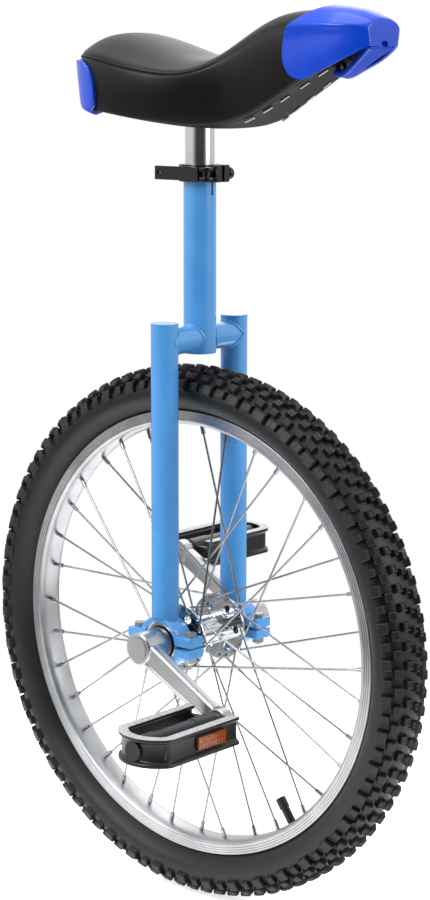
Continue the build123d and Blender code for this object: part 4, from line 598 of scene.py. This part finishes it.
# Reflectors: amber acrylic bars, moulded with a grid of small prisms behind the face and let into the
# front and back rails of each pedal.
# transparent amber acrylic: deep orange and glossy; its colour holds painted glints and painted shade, bright
# at the middle of each prism cell and dark at its edges, for the light the prisms throw back. The cells are
# drawn 4 mm across so that they show
PRISM_SIZE = 4.0
amber_acrylic = surface("amber_acrylic", "#8E3406", "#C05A10", 0.14, grain=2.0, relief=0.03)
amber_tree = amber_acrylic.node_tree
amber_place = add_node(amber_tree, "ShaderNodeTexCoord")
# painted glints: each prism cell's colour is bright at its middle and darkens to painted shade at its edges
prism_glint_cells = add_node(amber_tree, "ShaderNodeTexVoronoi",
                       {"Scale": 1 / (PRISM_SIZE * MM), "Randomness": 0.25},
                       {"Vector": amber_place.outputs["Object"]})
# the ramp turns the cells' distances into painted glint and painted shade colours
painted_prism_glint_ramp = add_node(amber_tree, "ShaderNodeValToRGB", {}, {"Fac": prism_glint_cells.outputs["Distance"]})
painted_prism_glint_ramp.color_ramp.elements[0].color = linear("#D9731C")
painted_prism_glint_ramp.color_ramp.elements[1].color = linear("#6E2704")
painted_prism_glint_ramp.color_ramp.elements[1].position = 0.75
amber_tree.links.new(painted_prism_glint_ramp.outputs["Color"], amber_tree.nodes["Principled BSDF"].inputs["Base Color"])
coat(amber_acrylic, "right_pedal_reflectors", "left_pedal_reflectors")

# Saddle: polyurethane foam moulded over a shell, covered in black vinyl that is pulled tight, stitched
# along a groove round the top, and stapled under the edge of the base. It dips where the rider sits.
# each station: X, half width, half width at the bottom edge, heights of the bottom edge, the top's side
# edge and the top's middle, and how deep the sewn groove round the top is, all in mm
STATIONS = (
    (-109, 31, 25, 752, 791, 802, 0.8),
    (-106, 44, 37, 751, 795, 809.5, 1.6),
    (-97, 57.5, 50.5, 749.5, 797, 816, 2.2),
    (-83, 68, 61, 747.5, 797, 819, 2.4),
    (-64, 75, 68, 746, 795, 818.5, 2.4),
    (-40, 78, 71, 743, 790, 811, 2.4),
    (-18, 77, 70.5, 740, 786, 803.5, 2.2),
    (4, 73.5, 67, 737, 782.5, 796.5, 1.8),
    (24, 65, 59, 734.5, 780.5, 793, 1.2),
    (42, 54, 48.5, 734, 784, 796.5, 0.7),
    (60, 44, 39, 736, 792.5, 808.5, 0.4),
    (78, 38.5, 33.5, 741.5, 803.5, 821, 0.3),
    (97, 35, 30, 751, 813, 831, 0.3),
    (118, 33.3, 28.3, 763, 818.8, 835.8, 0.3),
    (140, 32, 27, 775.5, 820, 836.5, 0.3),
    (158, 29.5, 24.5, 786, 819, 834, 0.3),
    (167, 24, 19, 792, 816, 828, 0.3),
)
REAR_X = STATIONS[0][0]


def station_at(stations, x):
    """The sizes of a row of stations at any X, in line between the two stations beside it."""
    for first, second in zip(stations, stations[1:]):
        if x <= second[0] or second is stations[-1]:
            share = min(max((x - first[0]) / (second[0] - first[0]), 0), 1)
            return [a + share * (b - a) for a, b in zip(first[1:], second[1:])]


def edged(mesh, points, closed=True):
    """Puts points, in mm, into the mesh as a ring or an open chain, and returns its edges."""
    corners = [mesh.verts.new(Vector(point) * MM) for point in points]
    return [mesh.edges.new((corners[i - 1], corners[i])) for i in range(0 if closed else 1, len(corners))]


def lofted(mesh, rings, capped=True):
    """Joins rings or chains of edges in order, and closes both ends where they are rings."""
    for first, second in zip(rings, rings[1:]):
        bmesh.ops.bridge_loops(mesh, edges=first + second)
    if capped:
        bmesh.ops.holes_fill(mesh, edges=rings[0] + rings[-1], sides=0)


def rounded(piece, levels=2):
    """Gives a piece a subdivision surface, as soft or moulded things have."""
    smoothing = piece.modifiers.new("roundness", "SUBSURF")
    smoothing.levels = smoothing.render_levels = levels
    piece.data.set_sharp_from_angle(angle=math.pi)


# calendered vinyl on foam: black with a soft sheen, a leather-like pebble pressed into it
vinyl = surface("calendered_black_vinyl", "#070708", "#0E0E0F", 0.42, grain=0.9, relief=0.05)
vinyl.node_tree.nodes["Principled BSDF"].inputs["Specular IOR Level"].default_value = 0.28
vinyl.node_tree.nodes["Principled BSDF"].inputs["Sheen Weight"].default_value = 0.05
saddle_mesh = bmesh.new()
saddle_rings = []
for x, half, bottom_half, bottom, edge, top, groove in STATIONS:
    dome, side = top - edge, edge - bottom
    # from the crown of the top, over its sewn edge and the groove, down the side and under to the staples
    near = [
        (0.34 * half, edge + 0.93 * dome), (0.62 * half, edge + 0.68 * dome),
        (0.84 * half, edge + 0.34 * dome), (half - 4.6, edge + 0.14 * dome + 1.0),
        (half - 2.6, edge + 1.0), (half - 1.4 - groove, edge - 0.4), (half - 0.8, edge - 2.0),
        (half, edge - 4.8), (half + 0.6, edge - 0.35 * side),
        ((half + bottom_half) / 2 + 1.2, bottom + 0.3 * side), (bottom_half + 1.2, bottom + 5),
        (bottom_half - 0.4, bottom + 1.2), (bottom_half - 3.5, bottom + 0.5), (bottom_half - 8, bottom + 2),
    ]
    saddle_rings.append(edged(saddle_mesh, [(x, 0, top)] + [(x, y, z) for y, z in near] + [(x, 0, bottom + 4)]
                              + [(x, -y, z) for y, z in reversed(near)]))
lofted(saddle_mesh, saddle_rings)
saddle = piece_from(saddle_mesh, "vinyl_cover", vinyl, "saddle", "saddle_vinyl", "saddle_cushion")
rounded(saddle)

# Piping: a cord in a strip of the same vinyl, sewn into the groove round the top of the saddle. It
# ends where the groove fades out on the nose.
PIPING_RADIUS = 1.1
PIPING_INSET = 1.5
PIPED_STATIONS = STATIONS[:11]
piping_curve = bpy.data.curves.new("sewn_piping", "CURVE")
piping_curve.dimensions = "3D"
piping_curve.bevel_depth = PIPING_RADIUS * MM
piping_curve.bevel_resolution = 2
piping_curve.use_fill_caps = True
piping_half = [(x, half - PIPING_INSET - 0.5 * groove, edge - 0.2)
               for x, half, _, _, edge, _, groove in PIPED_STATIONS]
piping_run = [(x, -y, z) for x, y, z in reversed(piping_half)]
piping_run += [(REAR_X - 0.6, 0, piping_half[0][2])] + piping_half
piping_line = piping_curve.splines.new("NURBS")
piping_line.points.add(len(piping_run) - 1)
for point, place in zip(piping_line.points, piping_run):
    point.co = (*(Vector(place) * MM), 1)
piping_line.order_u = 3
piping_line.use_endpoint_u = True
piping = bpy.data.objects.new("sewn_piping", piping_curve)
piping_curve.materials.append(vinyl)
scene.collection.objects.link(piping)
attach(piping, "saddle")

# Saddle base: one injection-moulded black polypropylene shell, slightly keeled under the nose, that
# the post bolts to; the vinyl is pulled under its edge and held by a row of wire staples.
# moulded polypropylene: black, waxy and semi-matt
black_polypropylene = surface("black_polypropylene", "#040404", "#080808", 0.45, grain=0.8, relief=0.02)
black_polypropylene.node_tree.nodes["Principled BSDF"].inputs["Specular IOR Level"].default_value = 0.35
BASE_MARGIN = 4.5
BASE_THICKNESS = 7
KEEL_DEPTH = 2.6
KEEL_START = -60
KEEL_LENGTH = 225


def keel_at(x):
    """How far the base's middle hangs below its edge at X, in mm."""
    share = min(max((x - KEEL_START) / KEEL_LENGTH, 0), 1)
    return KEEL_DEPTH * math.sin(math.pi * share) ** 1.5


base_mesh = bmesh.new()
base_rings = []
for x, _, bottom_half, bottom, _, _, _ in STATIONS[2:]:
    width, keel = bottom_half - BASE_MARGIN, keel_at(x)
    near = [(0.5 * width, bottom - 0.8 * keel), (0.85 * width, bottom - 0.3 * keel), (width, bottom + 0.6),
            (width, bottom + 5), (0.5 * width, bottom + BASE_THICKNESS)]
    base_rings.append(edged(base_mesh, [(x, 0, bottom - keel)] + [(x, y, z) for y, z in near]
                            + [(x, 0, bottom + BASE_THICKNESS)] + [(x, -y, z) for y, z in reversed(near)]))
lofted(base_mesh, base_rings)
rounded(piece_from(base_mesh, "base_shell", black_polypropylene, "saddle", "black_plastic", "saddle_base"))

# drawn zinc-plated wire, one short run showing for each staple
STAPLE_XS = (81, 98, 115, 135, 153)
STAPLE_LENGTH = 9
STAPLE_RADIUS = 0.95
staple_mesh = bmesh.new()
for x in STAPLE_XS:
    for sign in (-1, 1):
        ends = []
        for end_x in (x - STAPLE_LENGTH / 2, x + STAPLE_LENGTH / 2):
            _, bottom_half, bottom, _, _, _ = station_at(STATIONS, end_x)
            y = sign * (0.88 - 0.0035 * (end_x - STAPLE_XS[0])) * (bottom_half - BASE_MARGIN)
            ends.append(Vector((end_x, y, bottom - 0.45 * keel_at(end_x) - 0.9)) * MM)
        run = ends[1] - ends[0]
        wire = bmesh.ops.create_cone(staple_mesh, cap_ends=True, segments=8, radius1=STAPLE_RADIUS * MM,
                                     radius2=STAPLE_RADIUS * MM, depth=run.length)["verts"]
        lay = Matrix.Translation((ends[0] + ends[1]) / 2) @ run.to_track_quat("Z", "Y").to_matrix().to_4x4()
        bmesh.ops.transform(staple_mesh, matrix=lay, verts=wire)
piece_from(staple_mesh, "wire_staples", bright_zinc, "saddle", "zinc_steel", "saddle_staples")

# Front bumper: a hollow handle of gloss blue plastic over the saddle's nose, open below, with a ridge
# moulded along each side and a strap that runs back from its tip to the base.
# injection-moulded ABS: deep royal blue with a clear gloss
blue_abs = surface("gloss_blue_abs", "#0E44CE", "#1450E0", 0.22, grain=2.5, relief=0.008, uneven=0.04)
# each station: X, half width, half width at the lower edge, heights of the lower edge, ridge and top
NOSE_STATIONS = (
    (118, 37.5, 32.5, 759, 820, 839.0),
    (135, 37.2, 32.0, 769, 822, 841.0),
    (150, 37, 31.5, 776, 822.5, 841.5),
    (165, 36.5, 31, 783, 822, 840.8),
    (180, 35.5, 30, 789.5, 821.5, 838.5),
    (192, 32, 27.5, 795.5, 821, 835.5),
    (200, 28.5, 24.5, 800, 820, 832),
    (205.5, 25, 22, 803, 819, 829.5),
    (207.5, 23, 20, 804, 818.5, 828),
)
NOSE_X = NOSE_STATIONS[-1][0]
# each row along the guard: how high it runs (0 the lower edge, 1 the ridge, 2 the top's middle), how
# far it stands out from the plain side, and the X where it starts at the back
NOSE_ROWS = (
    (0.02, 0.6, 150), (0.10, 1.2, 139), (0.30, 1.6, 129), (0.60, 0.8, 125), (0.84, -1.2, 127),
    (0.96, 1.6, 131), (1.05, 1.6, 135), (1.18, -0.8, 140), (1.45, 0, 151), (1.75, 0, 162), (2.0, 0, 167),
)
NOSE_STEPS = 11
# each ring that closes the guard's tip: its size against the guard's last one, and how far ahead it stands
TIP_RINGS = ((0.93, 0.5), (0.6, 0.9), (0.2, 1.0))
HANDLE_WALL = 2.2


def nose_point(level, proud, x):
    """A point of the guard's left side, in mm, at a level from its lower edge to its top, at X."""
    half, low_half, low, ridge, top = station_at(NOSE_STATIONS, x)
    if level <= 1:
        return (x, low_half + (half - low_half) * level ** 0.6 + proud, low + (ridge - low) * level)
    swing = (level - 1) * math.pi / 2
    return (x, (half + proud) * math.cos(swing) ** 0.9, ridge + (top - ridge) * math.sin(swing) + 0.3 * proud)


nose_mesh = bmesh.new()
nose_chains = []
for step in range(NOSE_STEPS):
    share = step / (NOSE_STEPS - 1)
    near = [nose_point(level, proud * min(1, 3 * (1 - share)), start + share * (NOSE_X - start))
            for level, proud, start in NOSE_ROWS[:-1]]
    middle_x = NOSE_ROWS[-1][2] + share * (NOSE_X - NOSE_ROWS[-1][2])
    middle = (middle_x, 0, station_at(NOSE_STATIONS, middle_x)[-1])
    nose_chains.append(edged(nose_mesh, near + [middle] + [(x, -y, z) for x, y, z in reversed(near)],
                             closed=False))
tip_middle = Vector((NOSE_X, 0, NOSE_STATIONS[-1][3]))
nose_mesh.verts.ensure_lookup_table()
tip_points = [v.co / MM for v in nose_mesh.verts[-(2 * len(NOSE_ROWS) - 1):]]
for scale, ahead in TIP_RINGS:
    nose_chains.append(edged(nose_mesh, [tip_middle + scale * (point - tip_middle) + Vector((ahead, 0, 0))
                                         for point in tip_points], closed=False))
lofted(nose_mesh, nose_chains, capped=False)
front_guard = piece_from(nose_mesh, "front_guard", blue_abs, "saddle", "blue_plastic", "front_bumper")
rounded(front_guard)
wall = front_guard.modifiers.new("wall", "SOLIDIFY")
wall.thickness = HANDLE_WALL * MM
wall.offset = -1

# each station along the strap: X, height, half width and thickness
STRAP_STATIONS = (
    (158, 783.5, 8, 6.5), (163, 781.0, 8.3, 6.5), (169, 780.6, 8.7, 6), (176, 784.5, 9.4, 5),
    (187, 792.4, 11, 4.4), (196, 798.6, 13.5, 4.4), (202, 802.6, 16.5, 4.6), (206, 805.2, 18, 5),
)
# the strap's section, in parts of its half width and half thickness: rounded edges, a shallow dish on top
STRAP_SECTION = ((-1, -0.8), (-0.9, -1), (0, -1.1), (0.9, -1), (1, -0.8),
                 (1, 0.8), (0.9, 1), (0, 0.7), (-0.9, 1), (-1, 0.8))
strap_mesh = bmesh.new()
strap_rings = []
for index, (x, z, half, thickness) in enumerate(STRAP_STATIONS):
    before, after = STRAP_STATIONS[max(index - 1, 0)], STRAP_STATIONS[min(index + 1, len(STRAP_STATIONS) - 1)]
    along = Vector((after[0] - before[0], 0, after[1] - before[1])).normalized()
    lift = Vector((-along.z, 0, along.x)) * thickness / 2
    centre = Vector((x, 0, z))
    strap_rings.append(edged(strap_mesh, [centre + Vector((0, across * half, 0)) + up * lift
                                          for across, up in STRAP_SECTION]))
lofted(strap_mesh, strap_rings)
rounded(piece_from(strap_mesh, "handle_strap", blue_abs, "saddle", "blue_plastic"))

# Rear bumper: a moulded band of the same blue plastic, wrapped round the back corners of the saddle
# and rounded at both ends, with a lip turned in under the base that the screws go up through.
# each row: how high it runs from the saddle's bottom edge (0) to its top's edge (1), where it starts
REAR_ROWS = ((0.02, -72), (0.08, -66), (0.24, -62), (0.48, -60.5), (0.68, -63), (0.84, -70), (0.93, -82))
REAR_SHARES = (0, 0.06, 0.25, 0.5, 0.72, 0.88, 0.97, 1)
REAR_GAP = 0.5
REAR_STAND = 0.8
LIP_REACH = 26
LIP_INSET = 7
REAR_WALL = 3.2
GUARD_EDGE = 0.9
rear_mesh = bmesh.new()
rear_chains = []
for level, start in ((-1, REAR_ROWS[0][1] - 2), *REAR_ROWS):
    near = []
    for share in REAR_SHARES:
        x = start + share * (REAR_X - start)
        half, low_half, low, edge, _, _ = station_at(STATIONS, x)
        out = REAR_GAP * (1 - share)
        if level < 0:
            near.append((x + LIP_REACH * share, low_half - LIP_INSET, low - REAR_GAP))
            continue
        near.append((x - REAR_GAP * share, low_half + (half - low_half) * level ** 0.7 + REAR_STAND + out,
                     low + (edge - low) * level))
    rear_chains.append(edged(rear_mesh, near + [(near[-1][0], 0, near[-1][2])]
                             + [(x, -y, z) for x, y, z in reversed(near)], closed=False))
lofted(rear_mesh, rear_chains, capped=False)
rear_guard = piece_from(rear_mesh, "rear_guard", blue_abs, "saddle", "blue_plastic", "rear_bumper")
rounded(rear_guard)
wall = rear_guard.modifiers.new("wall", "SOLIDIFY")
wall.thickness = REAR_WALL * MM
wall.offset = 1
for guard in (front_guard, rear_guard):
    rounding = guard.modifiers.new("moulded_edges", "BEVEL")
    rounding.width = GUARD_EDGE * MM
    rounding.segments = 3
    rounding.limit_method = "ANGLE"
    rounding.angle_limit = math.radians(50)

# Crown joints: each short tube is brazed into its neighbours, and the enamel flows over a bead of
# brass that stands proud of the steel all round.
JOINT_BEAD_RADIUS = 1.5
JOINT_BEAD_PROUD = 0.3
JOINT_BEAD_STEPS = 48
SEAT_TUBE_RADIUS = 15.2
LEG_RADIUS = 12.7
LEG_LINE = 48.75
CROWN_TUBE_RADIUS = 12.7
crown_low, crown_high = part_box("crown_tubes")
CROWN_Z = (crown_low[2] + crown_high[2]) / 2
# each bead: the radius and the Y of the upright tube it lies against, and which way it faces
for name, tube_radius, centre_y, facing in (
    ("post_joint_right_bead", SEAT_TUBE_RADIUS, 0, -1),
    ("post_joint_left_bead", SEAT_TUBE_RADIUS, 0, 1),
    ("right_leg_joint_left_bead", LEG_RADIUS, -LEG_LINE, 1),
    ("left_leg_joint_right_bead", LEG_RADIUS, LEG_LINE, -1),
):
    bead_curve = bpy.data.curves.new(name, "CURVE")
    bead_curve.dimensions = "3D"
    bead_curve.bevel_depth = JOINT_BEAD_RADIUS * MM
    bead_curve.bevel_resolution = 3
    line = bead_curve.splines.new("POLY")
    line.points.add(JOINT_BEAD_STEPS - 1)
    line.use_cyclic_u = True
    for index, point in enumerate(line.points):
        angle = math.tau * index / JOINT_BEAD_STEPS
        x = CROWN_TUBE_RADIUS * math.cos(angle)
        reach = math.sqrt(max(tube_radius ** 2 - x ** 2, 0)) + JOINT_BEAD_PROUD
        point.co = (x * MM, (centre_y + facing * reach) * MM,
                    CROWN_Z + CROWN_TUBE_RADIUS * math.sin(angle) * MM, 1)
    bead = bpy.data.objects.new(name, bead_curve)
    bead_curve.materials.append(blue_enamel)
    scene.collection.objects.link(bead)
    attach(bead, "frame")
